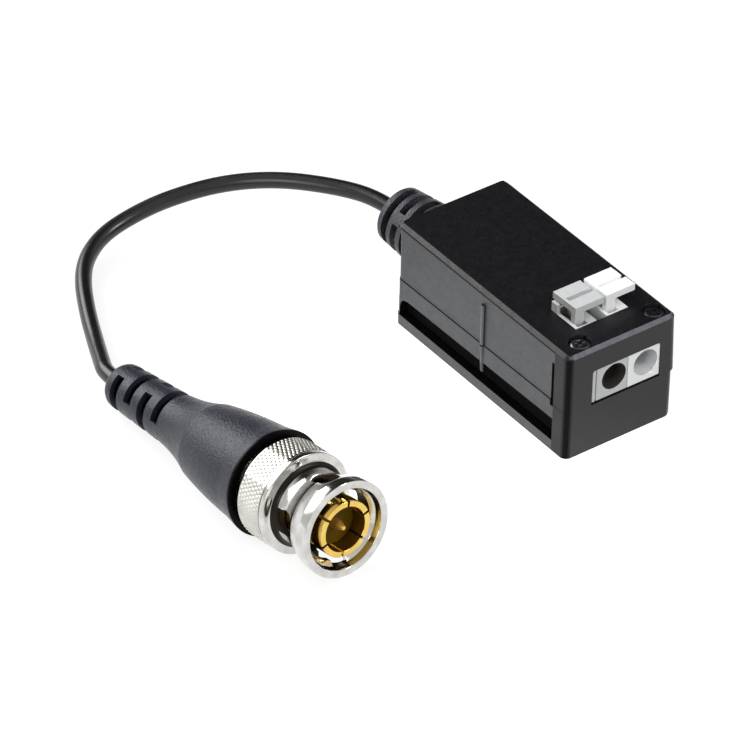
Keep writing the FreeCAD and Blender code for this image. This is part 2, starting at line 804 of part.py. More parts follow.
def terminal_housing(colour, white):
    """One moulded pole: front face with wire funnel, chamber, tower, lever slot and post."""
    centre = pole_x(white)[0]
    bar_top = "bar_floor + bar_thickness"
    left, right = f"{centre} - pole_left", f"{centre} + pole_right"
    face = fascia(f"face_{colour}", fascia_x(white), ("right",) if white else ())
    neck = block(f"neck_{colour}", (left, right),
                 (f"{CASE_FRONT} + fascia_sink", "board_front_y + 0.1"), FASCIA_Z)
    pole = block(f"pole_{colour}", (left, right), ("board_front_y", "pole_back_y"),
                 ("board_top", "pole_top"))
    tower_left, tower_right = tower_x(white)
    tower_y = ("opening_front_y + tower_clearance", "opening_back_y - tower_clearance")
    tower = block(f"tower_{colour}", (tower_left, tower_right), tower_y, ("pole_top - 1", "case_height"))
    post = block(f"post_{colour}", (tower_left, f"{tower_left} + tower_side"),
                 ("post_front_y", "opening_back_y - tower_clearance"), ("case_height - 1", "post_top"))
    blank = fuse(f"pole_blank_{colour}", face, neck, pole, tower, post)

    leg_left, leg_right = leg_x(white)
    slot_front = "lever_front_y - lever_slot_front"
    chamber = block(f"chamber_{colour}", chamber_x(white), ("chamber_front_y", "chamber_back_y"),
                    ("bar_floor", "chamber_top"))
    slot_x = (f"{leg_left} - lever_side_gap", f"{leg_right} + lever_side_gap")
    slot = fuse(f"lever_slot_{colour}",
                block(f"lever_slot_top_{colour}", slot_x,
                      (slot_front, "opening_back_y - tower_clearance - 0.3"),
                      ("chamber_top - 0.5", "case_height + 1")),
                block(f"lever_slot_eye_{colour}", slot_x,
                      (slot_front, "lever_hinge_y + lever_eye_radius + lever_eye_clearance"),
                      ("chamber_top - 0.5", "case_height - wall")))
    bearing = rod(f"bearing_{colour}", "lever_pin_radius + lever_pin_clearance",
                  "lever_leg_width + 2 * lever_pin_reach + 0.1",
                  (f"{leg_left} - lever_pin_reach - 0.05", "lever_hinge_y", "lever_hinge_z"), "X")
    funnel = taper(f"funnel_{colour}", "wire_mouth_radius", "wire_bore_radius", "wire_funnel_depth",
                   (centre, f"{CASE_FRONT} + fascia_sink", "wire_entry_z"), "Y")
    bore = rod(f"bore_{colour}", "wire_bore_radius",
               "chamber_front_y + case_length / 2 - fascia_sink + 0.5",
               (centre, f"{CASE_FRONT} + fascia_sink", "wire_entry_z"), "Y")
    half_x, half_y = "(bar_pin_width / 2 + part_gap)", "(bar_thickness / 2 + part_gap)"
    pin_way = block(f"pin_way_{colour}", (f"{centre} - {half_x}", f"{centre} + {half_x}"),
                    (f"bar_pin_y - {half_y}", f"bar_pin_y + {half_y}"), ("board_top - 1", bar_top))
    solid = cut(f"housing_{colour}", blank, chamber, slot, bearing, funnel, bore, pin_way)
    return keep(f"terminal_housing_{colour}", solid)


def terminal_end_plate():
    """Narrow plate that closes the row of poles at its left."""
    x = ("window_left + part_gap", "window_left + end_plate_width")
    return keep("terminal_end_plate", fascia("end_plate", x, ("left",)))


def lever(colour, white):
    """Push lever: sloping plate with a groove, gusseted leg, foot and hinge pin."""
    leg_left, leg_right = leg_x(white)
    under_back = "lever_plate_top - lever_plate_thickness"
    front_top = "lever_plate_top + lever_plate_rise"
    plate = padded(f"plate_{colour}", "YZ_Plane", [
        ("lever_back_y", under_back),
        ("lever_back_y", "lever_plate_top"),
        ("lever_front_y", front_top),
        ("lever_front_y", f"{front_top} - lever_plate_thickness"),
    ], "lever_plate_width + lever_ledge", start=leg_left)
    web = padded(f"web_{colour}", "YZ_Plane", [
        ("lever_front_y + 0.05", f"{front_top} - lever_plate_thickness / 2"),
        ("lever_front_y + 0.05", "lever_foot_z + 2"),
        ("lever_front_y + 0.75", "lever_foot_z"),
        ("lever_front_y + 1.35", "lever_foot_z + 0.1"),
        ("lever_front_y + 1.9", "lever_hinge_z - 1.6"),
        ("lever_hinge_y - 0.1", "lever_hinge_z - lever_eye_radius + 0.05"),
        ("lever_hinge_y - 0.1", "lever_hinge_z + lever_eye_radius - 0.05"),
        ("lever_front_y + 1.4", "case_height - 0.15"),
        ("lever_hinge_y - 0.45", f"{under_back} + 0.05"),
        ("lever_hinge_y - 0.45", f"{under_back} + 0.3"),
    ], "lever_leg_width", start=leg_left)
    eye = rod(f"eye_{colour}", "lever_eye_radius", "lever_leg_width",
              (leg_left, "lever_hinge_y", "lever_hinge_z"), "X")
    pin = rod(f"hinge_pin_{colour}", "lever_pin_radius", "lever_leg_width + 2 * lever_pin_reach",
              (f"{leg_left} - lever_pin_reach", "lever_hinge_y", "lever_hinge_z"), "X")
    plate_right = f"{leg_left} + lever_plate_width"
    groove_half = "lever_groove_width / 2"
    groove = block(f"groove_{colour}", (f"{leg_left} + lever_groove_inset", f"{plate_right} + 1"),
                   (f"lever_groove_y - {groove_half}", f"lever_groove_y + {groove_half}"),
                   ("lever_plate_top - lever_groove_depth + 0.06", "lever_plate_top + 1"))
    notch = block(f"notch_{colour}", (f"{plate_right} - lever_notch_depth", f"{plate_right} + 1"),
                  ("lever_groove_y - lever_notch_length / 2", "lever_groove_y + lever_notch_length / 2"),
                  (f"{under_back} - 1", "lever_plate_top + 1"))
    back_trim = block(f"back_trim_{colour}", (plate_right, f"{plate_right} + 1"),
                      ("lever_groove_y", "lever_back_y + 1"), (f"{under_back} - 1", "lever_plate_top + 1"))
    blank = fuse(f"lever_blank_{colour}", plate, web, eye, pin)
    return keep(f"lever_{colour}", cut(f"lever_cut_{colour}", blank, groove, notch, back_trim))


def contact_bar(colour, white):
    """Flat bar under the wire, with a pin down through the board."""
    centre = pole_x(white)[0]
    bar = block(f"bar_{colour}", chamber_x(white), ("chamber_front_y", "chamber_back_y"),
                ("bar_floor", "bar_floor + bar_thickness"))
    pin = block(f"bar_pin_{colour}", (f"{centre} - bar_pin_width / 2", f"{centre} + bar_pin_width / 2"),
                ("bar_pin_y - bar_thickness / 2", "bar_pin_y + bar_thickness / 2"),
                ("board_top - board_thickness - pin_stub", "bar_floor + bar_thickness / 2"))
    return keep(f"contact_bar_{colour}", fuse(f"bar_solid_{colour}", bar, pin))


def clamp_spring(colour, white):
    """Bent steel strip: foot on the bar, back, top bend and clamping arm."""
    centre = number(pole_x(white)[0])
    half = number("strip_thickness / 2")
    bar_top = number("bar_floor + bar_thickness")
    back = number("chamber_back_y") - half - 0.05
    front = number("chamber_front_y")
    line = [
        Vec(0, back, bar_top),
        Vec(0, back, number("chamber_top") - 1.1),
        Vec(0, back - 0.6, number("chamber_top") - 0.45),
        Vec(0, front + 1.3, number("lever_foot_z") - 0.75),
        Vec(0, front + 0.75, bar_top + 0.35),
    ]
    path = Part.makePolygon(line)
    strip = path.makeOffset2D(half, 2, True, True, False)
    solid = strip.extrude(Vec(number("strip_width"), 0, 0))
    solid.translate(Vec(centre - number("strip_width") / 2, 0, 0))
    box = solid.BoundBox
    floor = Part.makeBox(box.XLength, box.YLength, box.ZLength,
                         Vec(box.XMin, box.YMin, bar_top - box.ZLength))
    obj = doc.addObject("Part::Feature", f"strip_{colour}")
    obj.Shape = solid.cut(floor)
    return keep(f"clamp_spring_{colour}", obj)


# Circuit board and its parts


def lead_places():
    """Every wire end that goes through the board: name, X and Y formulas."""
    return (
        ("suppressor_a", "core_x - suppressor_span / 2", "suppressor_y"),
        ("suppressor_b", "core_x + suppressor_span / 2", "suppressor_y"),
        ("capacitor_a", "capacitor_x", "capacitor_y - capacitor_span / 2"),
        ("capacitor_b", "capacitor_x", "capacitor_y + capacitor_span / 2"),
        ("resistor_a", "resistor_x", "resistor_y - resistor_span / 2"),
        ("resistor_b", "resistor_x", "resistor_y + resistor_span / 2"),
        ("core_wire", "gland_x", CORE_WIRE_Y),
        ("braid_wire", "gland_x + 2.2", BRAID_WIRE_Y),
    )


GLAND_LEAD_FRONT = "case_length / 2 - gland_lead_inside"
CORE_WIRE_Y = f"{GLAND_LEAD_FRONT} - 2.2"
BRAID_WIRE_Y = f"{GLAND_LEAD_FRONT} - 2.4"
BOARD_UNDER = "board_top - board_thickness"


def circuit_board():
    """Board with notches round the screw bosses and holes for every lead."""
    plate = block("board_plate", ("board_left", "board_right"), ("board_front_y", "board_back_y"),
                  (BOARD_UNDER, "board_top"))
    cutters = [rod(f"boss_notch_{side}", "screw_boss_radius + 0.15", "board_thickness + 1",
                   (x, SCREW_Y, f"{BOARD_UNDER} - 0.5")) for side, x in screw_places()]
    for name, x, y in lead_places():
        cutters.append(rod(f"hole_{name}", "lead_radius + board_hole_clearance", "board_thickness + 1",
                           (x, y, f"{BOARD_UNDER} - 0.5")))
    for colour, white in (("grey", False), ("white", True)):
        centre = pole_x(white)[0]
        half_x, half_y = "bar_pin_width / 2 + part_gap", "bar_thickness / 2 + part_gap"
        cutters.append(block(f"bar_hole_{colour}", (f"{centre} - ({half_x})", f"{centre} + {half_x}"),
                             (f"bar_pin_y - ({half_y})", f"bar_pin_y + {half_y}"),
                             (f"{BOARD_UNDER} - 0.5", "board_top + 0.5")))
    return keep("circuit_board", cut("board_solid", plate, *cutters))


def toroid_core():
    """Ferrite ring of the transformer."""
    low = "board_top + winding_thickness"
    body = tube("ferrite_ring", "core_inner_radius", "core_outer_radius", low, f"{low} + core_height")
    bind(body, Placement__Base__x="core_x", Placement__Base__y="core_y")
    return keep("toroid_core", body)


def winding(side, turn):
    """One winding, as a sleeve round part of the ring."""
    low = "board_top + winding_thickness"
    high = f"{low} + core_height"
    sleeve = revolved(f"sleeve_{side}", [
        ("core_inner_radius - winding_thickness", "board_top"),
        ("core_outer_radius + winding_thickness", "board_top"),
        ("core_outer_radius + winding_thickness", f"{high} + winding_thickness"),
        ("core_inner_radius - winding_thickness", f"{high} + winding_thickness"),
    ], angle="winding_angle")
    ring = tube(f"ring_{side}", "core_inner_radius", "core_outer_radius", low, high)
    solid = cut(f"winding_cut_{side}", sleeve, ring)
    solid.Placement = FreeCAD.Placement(Vec(), FreeCAD.Rotation(Vec(0, 0, 1), turn))
    bind(solid, Placement__Base__x="core_x", Placement__Base__y="core_y")
    return keep(f"winding_{side}_side", solid)


def leaded(label, body, points):
    """Small part with one wire run through it, fused into one solid."""
    wire = doc.addObject("Part::Feature", f"{label}_leads")
    wire.Shape = bent_wire([Vec(*(number(v) for v in p)) for p in points], number("lead_radius"))[0]
    return keep(label, fuse(f"{label}_solid", body, wire))


def surge_suppressor():
    """Cylinder across the board between the terminals and the transformer."""
    height = "board_top + suppressor_radius + 0.3"
    body = rod("suppressor_body", "suppressor_radius", "suppressor_length",
               ("core_x - suppressor_length / 2", "suppressor_y", height), "X")
    left, right = "core_x - suppressor_span / 2", "core_x + suppressor_span / 2"
    return leaded("surge_suppressor", body, [
        (left, "suppressor_y", f"{BOARD_UNDER} - 0.8"), (left, "suppressor_y", height),
        (right, "suppressor_y", height), (right, "suppressor_y", f"{BOARD_UNDER} - 0.8"),
    ])


def damping_resistor():
    """Small cylinder along the board at its right rear."""
    height = "board_top + resistor_radius + 0.3"
    body = rod("resistor_body", "resistor_radius", "resistor_length",
               ("resistor_x", "resistor_y - resistor_length / 2", height), "Y")
    front, back = "resistor_y - resistor_span / 2", "resistor_y + resistor_span / 2"
    return leaded("damping_resistor", body, [
        ("resistor_x", front, f"{BOARD_UNDER} - 0.8"), ("resistor_x", front, height),
        ("resistor_x", back, height), ("resistor_x", back, f"{BOARD_UNDER} - 0.8"),
    ])


def coupling_capacitor():
    """Rounded box on two leads at the left rear of the board."""
    half_w, half_l = "capacitor_width / 2", "capacitor_length / 2"
    box = rounded_prism("capacitor_box", (f"capacitor_x - {half_w}", f"capacitor_x + {half_w}"),
                        (f"capacitor_y - {half_l}", f"capacitor_y + {half_l}"),
                        ("board_top + 0.3", "board_top + 0.3 + capacitor_height"), "0.4")
    legs = [rod(f"capacitor_leg_{end}", "lead_radius", "board_thickness + 1.6",
                ("capacitor_x", f"capacitor_y {sign} capacitor_span / 2", f"{BOARD_UNDER} - 0.8"))
            for end, sign in (("front", "-"), ("back", "+"))]
    return keep("coupling_capacitor", fuse("capacitor_solid", box, *legs))


# Lead and strain relief on the box


def gland_frame():
    """Placement of the strain relief's cone: at the rear wall, leaning with the lead."""
    root = Vec(number("gland_x"), number("case_length / 2"), number(GLAND_Z))
    yaw = FreeCAD.Rotation(Vec(0, 0, 1), number("gland_yaw"))
    pitch = FreeCAD.Rotation(Vec(1, 0, 0), number("gland_pitch"))
    return FreeCAD.Placement(root, yaw * pitch * TURNS["Y"])


def slotted(name, blank, stations, width, core, bridge, first_angle, outer):
    """Cut alternating pairs of slots into a turned blank about the Z axis."""
    cutters = []
    for index, station in enumerate(stations):
        ring = tube(f"{name}_ring_{index}", core, outer,
                    f"({station}) - {width} / 2", f"({station}) + {width} / 2")
        bar = block(f"{name}_bar_{index}", (f"-({outer})", outer), (f"-{bridge} / 2", f"{bridge} / 2"),
                    (f"({station}) - {width}", f"({station}) + {width}"))
        turned_about_z(bar, first_angle + 90 * index)
        cutters.append(cut(f"{name}_slots_{index}", ring, bar))
    return cut(name, blank, *cutters)


def cable_gland():
    """Slotted strain relief: cone outside, neck through the wall and flange inside."""
    slope = "(gland_root_radius - gland_end_radius) / gland_length"
    cone = revolved("gland_cone", [
        ("cable_radius", "-1"),
        (f"gland_root_radius + {slope}", "-1"),
        (f"gland_end_radius + {slope} * gland_end_round", "gland_length - gland_end_round"),
        ("gland_end_radius - gland_end_round", "gland_length"),
        ("cable_radius", "gland_length"),
    ], arcs={2: "gland_end_round * 1.1"})
    stations = ["gland_slot_first", "gland_slot_second", "gland_slot_third"]
    relieved = slotted("gland_relief", cone, stations, "gland_slot_width", "gland_slot_core",
                       "gland_bridge", number("gland_bridge_angle"), "8")
    relieved.Placement = gland_frame()
    reach = "2 * gland_root_radius"
    wall_trim = block("gland_wall_trim", (f"gland_x - {reach}", f"gland_x + {reach}"),
                      (f"{CASE_BACK} - {reach}", CASE_BACK), (f"gland_z - {reach}", f"gland_z + {reach}"))
    outside = cut("gland_outside", relieved, wall_trim)
    neck = rod("gland_neck", "gland_neck_radius", "wall + 0.05",
               ("gland_x", "case_length / 2 - wall - 0.05", GLAND_Z), "Y")
    flange = rod("gland_flange", "gland_flange_radius", "gland_flange_thickness",
                 ("gland_x", "case_length / 2 - wall - gland_flange_thickness", GLAND_Z), "Y")
    blank = fuse("gland_blank", outside, neck, flange)
    return keep("cable_gland", cut("gland_solid", blank, gland_lead_shape("gland_bore")))


def gland_lead_shape(name):
    """The lead inside the box and the strain relief: straight in, then along the lean."""
    frame = gland_frame()
    front = Vec(number("gland_x"), number(GLAND_LEAD_FRONT), number(GLAND_Z))
    along = frame.Rotation.multVec(Vec(0, 0, 1))
    end = frame.Base + along * number("gland_length")
    obj = doc.addObject("Part::Feature", f"{name}_lead")
    obj.Shape = bent_wire([front, frame.Base, end], number("cable_radius"))[0]
    return obj


def gland_lead():
    """Stretch of the lead inside the strain relief and the box."""
    return keep("gland_lead", gland_lead_shape("gland_lead"))


def stripped_wire(label, start_x, end_x, drop_y):
    """Stripped end from the lead's front face, across and down through the board."""
    points = [(start_x, GLAND_LEAD_FRONT, GLAND_Z),
              (start_x, f"{GLAND_LEAD_FRONT} - 0.8", GLAND_Z),
              (end_x, drop_y, f"{GLAND_Z} - 0.1"),
              (end_x, drop_y, f"{BOARD_UNDER} - 0.8")]
    obj = doc.addObject("Part::Feature", f"{label}_run")
    obj.Shape = bent_wire([Vec(*(number(v) for v in p)) for p in points], number("core_wire_radius"))[0]
    return keep(label, obj)


# Plug


def plug_frame():
    """Placement of the plug: local Z runs back from the nose, local X to the left, Y up."""
    yaw, pitch = math.radians(number("plug_yaw")), math.radians(number("plug_pitch"))
    nose = Vec(math.sin(yaw) * math.cos(pitch), -math.cos(yaw) * math.cos(pitch), math.sin(pitch))
    back = nose * -1
    left = Vec(-math.cos(yaw), -math.sin(yaw), 0)
    upward = back.cross(left)
    place = Vec(number("plug_x"), number("plug_y"), number("plug_z"))
    return FreeCAD.Placement(place, FreeCAD.Rotation(left, upward, back, "ZXY"))


def on_plug(label, obj):
    """Keep a piece of the plug in the plug's place."""
    doc.recompute()
    obj.Placement = plug_frame()
    return keep(label, obj)


def radial_rod(name, radius, reach, place, angle):
    """Cylinder from the axis outwards at a place along the plug."""
    return turned_about_z(rod(name, radius, reach, ("0", "0", place), "X"), angle)


def cam_track(name, angle):
    """Cutter for one helical track in the nut's bore, from its entry round to its lock hole."""
    turn = number("cam_lock_angle - cam_entry_angle")
    rise = number("cam_track_end - cam_track_start")
    inner, outer = number("nut_bore_radius - 0.6"), number("cam_track_radius")
    half = number("cam_track_width / 2")
    helix = Part.makeHelix(rise * 360 / turn, rise, (inner + outer) / 2)
    section = Part.makePolygon([Vec(inner, 0, -half), Vec(outer, 0, -half), Vec(outer, 0, half),
                                Vec(inner, 0, half), Vec(inner, 0, -half)])
    obj = doc.addObject("Part::Feature", name)
    obj.Shape = Part.Wire(helix).makePipeShell([section], True, True)
    obj.Placement = FreeCAD.Placement(Vec(0, 0, number("cam_track_start")),
                                      FreeCAD.Rotation(Vec(0, 0, 1), angle))
    return obj


def coupling_nut():
    """Bayonet nut: flared lip, waist with cam openings, rim, groove and grip band."""
    blank = revolved("nut_turned", [
        ("nut_mouth_radius", "0"),
        ("nut_lip_radius", "0"),
        ("nut_lip_radius", "nut_lip_length"),
        ("nut_flare_radius", "nut_flare_end"),
        ("nut_waist_radius", "nut_waist_start"),
        ("nut_waist_radius", "nut_waist_end"),
        ("nut_rim_radius - 0.7", "nut_waist_end + 0.2"),
        ("nut_rim_radius - 0.4", "nut_rim_start"),
        ("nut_rim_radius", "nut_rim_start + 0.1"),
        ("nut_rim_radius", "nut_groove_start"),
        ("nut_rim_radius - nut_groove_depth", "nut_groove_start"),
        ("nut_rim_radius - nut_groove_depth", "nut_groove_start + nut_groove_width"),
        ("nut_band_radius", "nut_groove_start + nut_groove_width"),
        ("nut_band_radius", "nut_length - nut_back_chamfer"),
        ("nut_band_radius - nut_back_chamfer", "nut_length"),
        ("body_neck_radius + running_gap", "nut_length"),
        ("body_neck_radius + running_gap", "nut_cavity_end"),
        ("nut_cavity_radius", "nut_cavity_end"),
        ("nut_cavity_radius", "nut_cavity_start"),
        ("nut_bore_radius", "nut_cavity_start"),
        ("nut_bore_radius", "nut_mouth_depth + 0.5"),
        ("nut_mouth_radius - 0.2", "nut_mouth_depth"),
    ], arcs={3: "-nut_waist_curve"})
    cutters = []
    reach = "nut_band_radius + 1"
    half_width = "cam_opening_width / 2"
    for half in (0, 180):
        opening = number("cam_opening_angle") + half
        entry = number("cam_entry_angle") + half
        cutters.append(radial_rod(f"cam_lock_{half}", "cam_lock_radius", reach, "cam_lock_place",
                                  number("cam_lock_angle") + half))
        for end, place in (("front", f"cam_opening_start + {half_width}"),
                           ("back", f"cam_opening_end - {half_width}")):
            cutters.append(radial_rod(f"cam_opening_{end}_{half}", half_width, reach, place, opening))
        cutters.append(turned_about_z(block(
            f"cam_opening_middle_{half}", ("0", reach), (f"-{half_width}", half_width),
            (f"cam_opening_start + {half_width}", f"cam_opening_end - {half_width}")), opening))
        cutters.append(turned_about_z(block(
            f"cam_entry_{half}", ("0", "cam_track_radius"), ("-cam_entry_width / 2", "cam_entry_width / 2"),
            ("-1", "cam_track_start + cam_track_width / 2")), entry))
        cutters.append(cam_track(f"cam_track_{half}", entry))
    return on_plug("coupling_nut", cut("nut_cut", blank, *cutters))


def outer_contact():
    """Slit gold tube with a flange that seats on the plug body."""
    blank = revolved("contact_turned", [
        ("contact_inner_radius", "contact_front + 0.25"),
        ("contact_inner_radius + 0.25", "contact_front"),
        ("contact_outer_radius - 0.2", "contact_front"),
        ("contact_outer_radius", "contact_front + 0.2"),
        ("contact_outer_radius", "gasket_front"),
        ("contact_seat_radius", "gasket_front"),
        ("contact_seat_radius", "contact_flange_start"),
        ("contact_flange_radius", "contact_flange_start"),
        ("contact_flange_radius", "contact_flange_end"),
        ("contact_outer_radius", "contact_flange_end"),
        ("contact_outer_radius", "contact_back"),
        ("contact_inner_radius", "contact_back"),
    ])
    turned_about_z(blank, number("contact_seam_angle"))
    cutters = []
    count = int(number("contact_slits"))
    for index in range(count):
        slit = block(f"slit_{index}", ("contact_inner_radius - 1", "contact_outer_radius + 1"),
                     ("-contact_slit_width / 2", "contact_slit_width / 2"),
                     ("contact_front - 1", "contact_slit_end"))
        cutters.append(turned_about_z(slit, number("contact_slit_angle") + 360 / count * index))
    return on_plug("outer_contact", cut("contact_cut", blank, *cutters))


def plug_inner_pieces():
    """Insulator, centre pin, gasket, washers, body and ferrule of the plug."""
    on_plug("insulator", tube("insulator_turned", "pin_radius", "contact_inner_radius",
                              "insulator_front", "insulator_back"))
    on_plug("centre_pin", revolved("pin_turned", [
        ("0", "pin_tip"), ("pin_tip_radius", "pin_tip"), ("pin_radius", "pin_shoulder"),
        ("pin_radius", "pin_back"), ("0", "pin_back"),
    ]))
    on_plug("gasket", tube("gasket_turned", "contact_seat_radius", "gasket_radius",
                           "gasket_front", "contact_flange_start"))
    flange_start = "nut_cavity_start + part_gap"
    flange_end = f"{flange_start} + body_flange_thickness"
    on_plug("plug_body", revolved("body_turned", [
        ("contact_outer_radius", "contact_flange_end"),
        ("body_nose_radius", "contact_flange_end"),
        ("body_nose_radius", flange_start),
        ("body_flange_radius", flange_start),
        ("body_flange_radius", flange_end),
        ("body_neck_radius", flange_end),
        ("body_neck_radius", "boot_front"),
        ("body_collar_radius", "boot_front"),
        ("body_collar_radius", "boot_front + body_collar_thickness"),
        ("body_back_radius", "boot_front + body_collar_thickness"),
        ("body_back_radius", "body_back_end"),
        ("spigot_radius", "body_back_end"),
        ("spigot_radius", "spigot_end"),
        ("spigot_bore", "spigot_end"),
        ("spigot_bore", "contact_back"),
        ("contact_outer_radius", "contact_back"),
    ]))
    washer_start = "nut_cavity_end - part_gap - washer_thickness"
    on_plug("thrust_washer", tube("washer_turned", "body_neck_radius + running_gap", "washer_radius",
                                  washer_start, f"{washer_start} + washer_thickness"))
    on_plug("crimp_ferrule", tube("ferrule_turned", "spigot_radius", "ferrule_radius",
                                  "body_back_end + 0.3", "spigot_end"))


def wave_washer():
    """Wavy spring ring between the plug body's flange and the thrust washer."""
    low = number("nut_cavity_start + part_gap + body_flange_thickness")
    high = number("nut_cavity_end - part_gap - washer_thickness")
    thick = number("wave_thickness")
    middle, swing = (low + high - thick) / 2, (high - low - thick) / 2 - number("wave_seat_gap")
    inner, outer = number("body_neck_radius + wave_margin"), number("body_flange_radius")
    waves = int(number("wave_count"))
    rings = []
    for radius in (inner, outer):
        angles = [2 * math.pi * k / 48 for k in range(48)]
        curve = Part.BSplineCurve()
        curve.interpolate([Vec(radius * math.cos(a), radius * math.sin(a),
                               middle + swing * math.cos(waves * a)) for a in angles], PeriodicFlag=True)
        rings.append(Part.Wire(curve.toShape()))
    sheet = Part.makeRuledSurface(rings[0], rings[1])
    obj = doc.addObject("Part::Feature", "wave_ring")
    obj.Shape = sheet.Faces[0].extrude(Vec(0, 0, thick))
    return on_plug("wave_washer", obj)


def plug_boot():
    """Moulded boot: tapering grip and a slotted tail round the lead."""
    blank = revolved("boot_turned", [
        ("body_collar_radius", "boot_front"),
        ("boot_front_radius", "boot_front"),
        ("boot_grip_radius", "boot_grip"),
        ("boot_shoulder_radius", "boot_shoulder"),
        ("boot_neck_radius", "boot_neck"),
        ("boot_end_radius", "boot_end - boot_end_round"),
        ("boot_end_radius - boot_end_round", "boot_end"),
        ("cable_radius", "boot_end"),
        ("cable_radius", "spigot_end"),
        ("ferrule_radius", "spigot_end"),
        ("ferrule_radius", "body_back_end"),
        ("body_back_radius", "body_back_end"),
        ("body_back_radius", "boot_front + body_collar_thickness"),
        ("body_collar_radius", "boot_front + body_collar_thickness"),
    ], arcs={2: "boot_bulge", 3: "-boot_sweep", 5: "boot_end_round"})
    stations = [f"boot_slot_first + {index} * boot_slot_step" for index in range(4)]
    solid = slotted("boot_relief", blank, stations, "boot_slot_width", "boot_slot_core", "boot_bridge",
                    number("boot_bridge_angle") - 180, "9")
    return on_plug("plug_boot", solid)


def plug_lead():
    """Stretch of the lead inside the boot, stripped where it enters the spigot."""
    jacket = rod("plug_jacket", "cable_radius", "boot_end - spigot_end", ("0", "0", "spigot_end"))
    core = rod("plug_dielectric", "spigot_bore - part_gap", "spigot_end - pin_back", ("0", "0", "pin_back"))
    return on_plug("plug_lead", fuse("plug_lead_solid", jacket, core))


def cable():
    """Free stretch of the lead, from the strain relief round to the boot."""
    gland = gland_frame()
    along = gland.Rotation.multVec(Vec(0, 0, 1))
    start = gland.Base + along * number("gland_length")
    plug = plug_frame()
    back = plug.Rotation.multVec(Vec(0, 0, 1))
    end = plug.multVec(Vec(0, 0, number("boot_end")))
    route = [start, start + along * FIRST_RUN]
    route += [Vec(*point) for point in CABLE_ROUTE]
    route += [end + back * LAST_RUN, end]
    shape, radii, length = bent_wire(route, number("cable_radius"))
    section = math.pi * number("cable_radius") ** 2
    print("cable bend radii", [round(radius, 1) for radius in radii])
    print("cable length", round(length, 1), "volume against section times length",
          round(shape.Volume / (section * length), 4))
    print("cable route", [tuple(round(v, 3) for v in point) for point in route])
    obj = doc.addObject("Part::Feature", "cable_run")
    obj.Shape = shape
    return keep("cable", obj)


def build():
    """Make every sub-part."""
    upper_shell()
    lower_shell()
    case_screws()
    circuit_board()
    toroid_core()
    winding("line", 30)
    winding("camera", 210)
    surge_suppressor()
    coupling_capacitor()
    damping_resistor()
    terminal_end_plate()
    for colour, white in (("grey", False), ("white", True)):
        terminal_housing(colour, white)
        lever(colour, white)
        contact_bar(colour, white)
        clamp_spring(colour, white)
    cable_gland()
    gland_lead()
    stripped_wire("core_wire", "gland_x - 0.1", "gland_x", CORE_WIRE_Y)
    stripped_wire("braid_wire", "gland_x + 0.7", "gland_x + 2.2", BRAID_WIRE_Y)
    cable()
    coupling_nut()
    outer_contact()
    plug_inner_pieces()
    wave_washer()
    plug_boot()
    plug_lead()
    doc.recompute()


def export():
    """Check every object and write each sub-part to its own file."""
    for obj in doc.Objects:
        bad = [state for state in obj.State if state in ("Invalid", "Error")]
        if bad:
            raise RuntimeError(f"{obj.Name} is {bad}")
    os.makedirs("parts", exist_ok=True)
    for obj in NODES:
        shape = obj.Shape
        if shape.isNull() or not shape.isValid() or not shape.Solids:
            raise RuntimeError(f"{obj.Label} has no valid solid")
        box = shape.BoundBox
        print(f"{obj.Label}: {len(shape.Solids)} solid(s), {shape.Volume:.2f} mm3, "
              f"z {box.ZMin:.2f} to {box.ZMax:.2f}")
        shape.exportStep(f"parts/{obj.Label}.step")


build()
export()
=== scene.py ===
"""Studio scene of a passive video balun with push terminals, a short lead and a bayonet plug."""

import logging
import math
from collections.abc import Callable, Iterable, Sequence
from dataclasses import dataclass, field
from enum import Enum
from functools import partial

import bmesh
import bpy
from mathutils import Matrix, Vector


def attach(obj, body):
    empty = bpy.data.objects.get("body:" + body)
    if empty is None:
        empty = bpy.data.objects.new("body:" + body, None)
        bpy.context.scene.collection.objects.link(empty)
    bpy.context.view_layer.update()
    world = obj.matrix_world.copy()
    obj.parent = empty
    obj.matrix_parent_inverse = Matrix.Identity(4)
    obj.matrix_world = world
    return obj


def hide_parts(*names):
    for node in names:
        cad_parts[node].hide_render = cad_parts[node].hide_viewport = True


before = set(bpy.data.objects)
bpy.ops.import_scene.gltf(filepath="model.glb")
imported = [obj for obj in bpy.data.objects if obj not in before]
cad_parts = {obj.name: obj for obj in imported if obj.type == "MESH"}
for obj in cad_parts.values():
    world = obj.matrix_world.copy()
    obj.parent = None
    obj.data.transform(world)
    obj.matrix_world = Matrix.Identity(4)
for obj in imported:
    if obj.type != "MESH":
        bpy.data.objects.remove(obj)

LOG = logging.getLogger("balun")
MM = 0.001
Profile = list[tuple[float, float]]


# Colour, nodes and meshes


def linear(colour: str) -> tuple[float, float, float, float]:
    """Turn an sRGB hex colour into linear red, green, blue and alpha.

    Args:
        colour: six hex digits after a hash.

    Returns:
        The four linear values, with alpha 1.
    """
    values = [int(colour[i:i + 2], 16) / 255 for i in (1, 3, 5)]
    red, green, blue = (v / 12.92 if v <= 0.04045 else ((v + 0.055) / 1.055) ** 2.4 for v in values)
    return red, green, blue, 1.0


def add_node(tree: bpy.types.NodeTree, kind: str, inputs: dict | None = None, **settings) -> bpy.types.Node:
    """Add a node with its settings, and set or link its inputs.

    Args:
        tree: the node tree that gets the node.
        kind: the node's type name.
        inputs: input name or number to a value, or to the socket that feeds it.
        settings: properties of the node.

    Returns:
        The new node.
    """
    node = tree.nodes.new(kind)
    for name, value in settings.items():
        setattr(node, name, value)
    for key, value in (inputs or {}).items():
        if isinstance(value, bpy.types.NodeSocket):
            tree.links.new(value, node.inputs[key])
        else:
            node.inputs[key].default_value = value
    return node


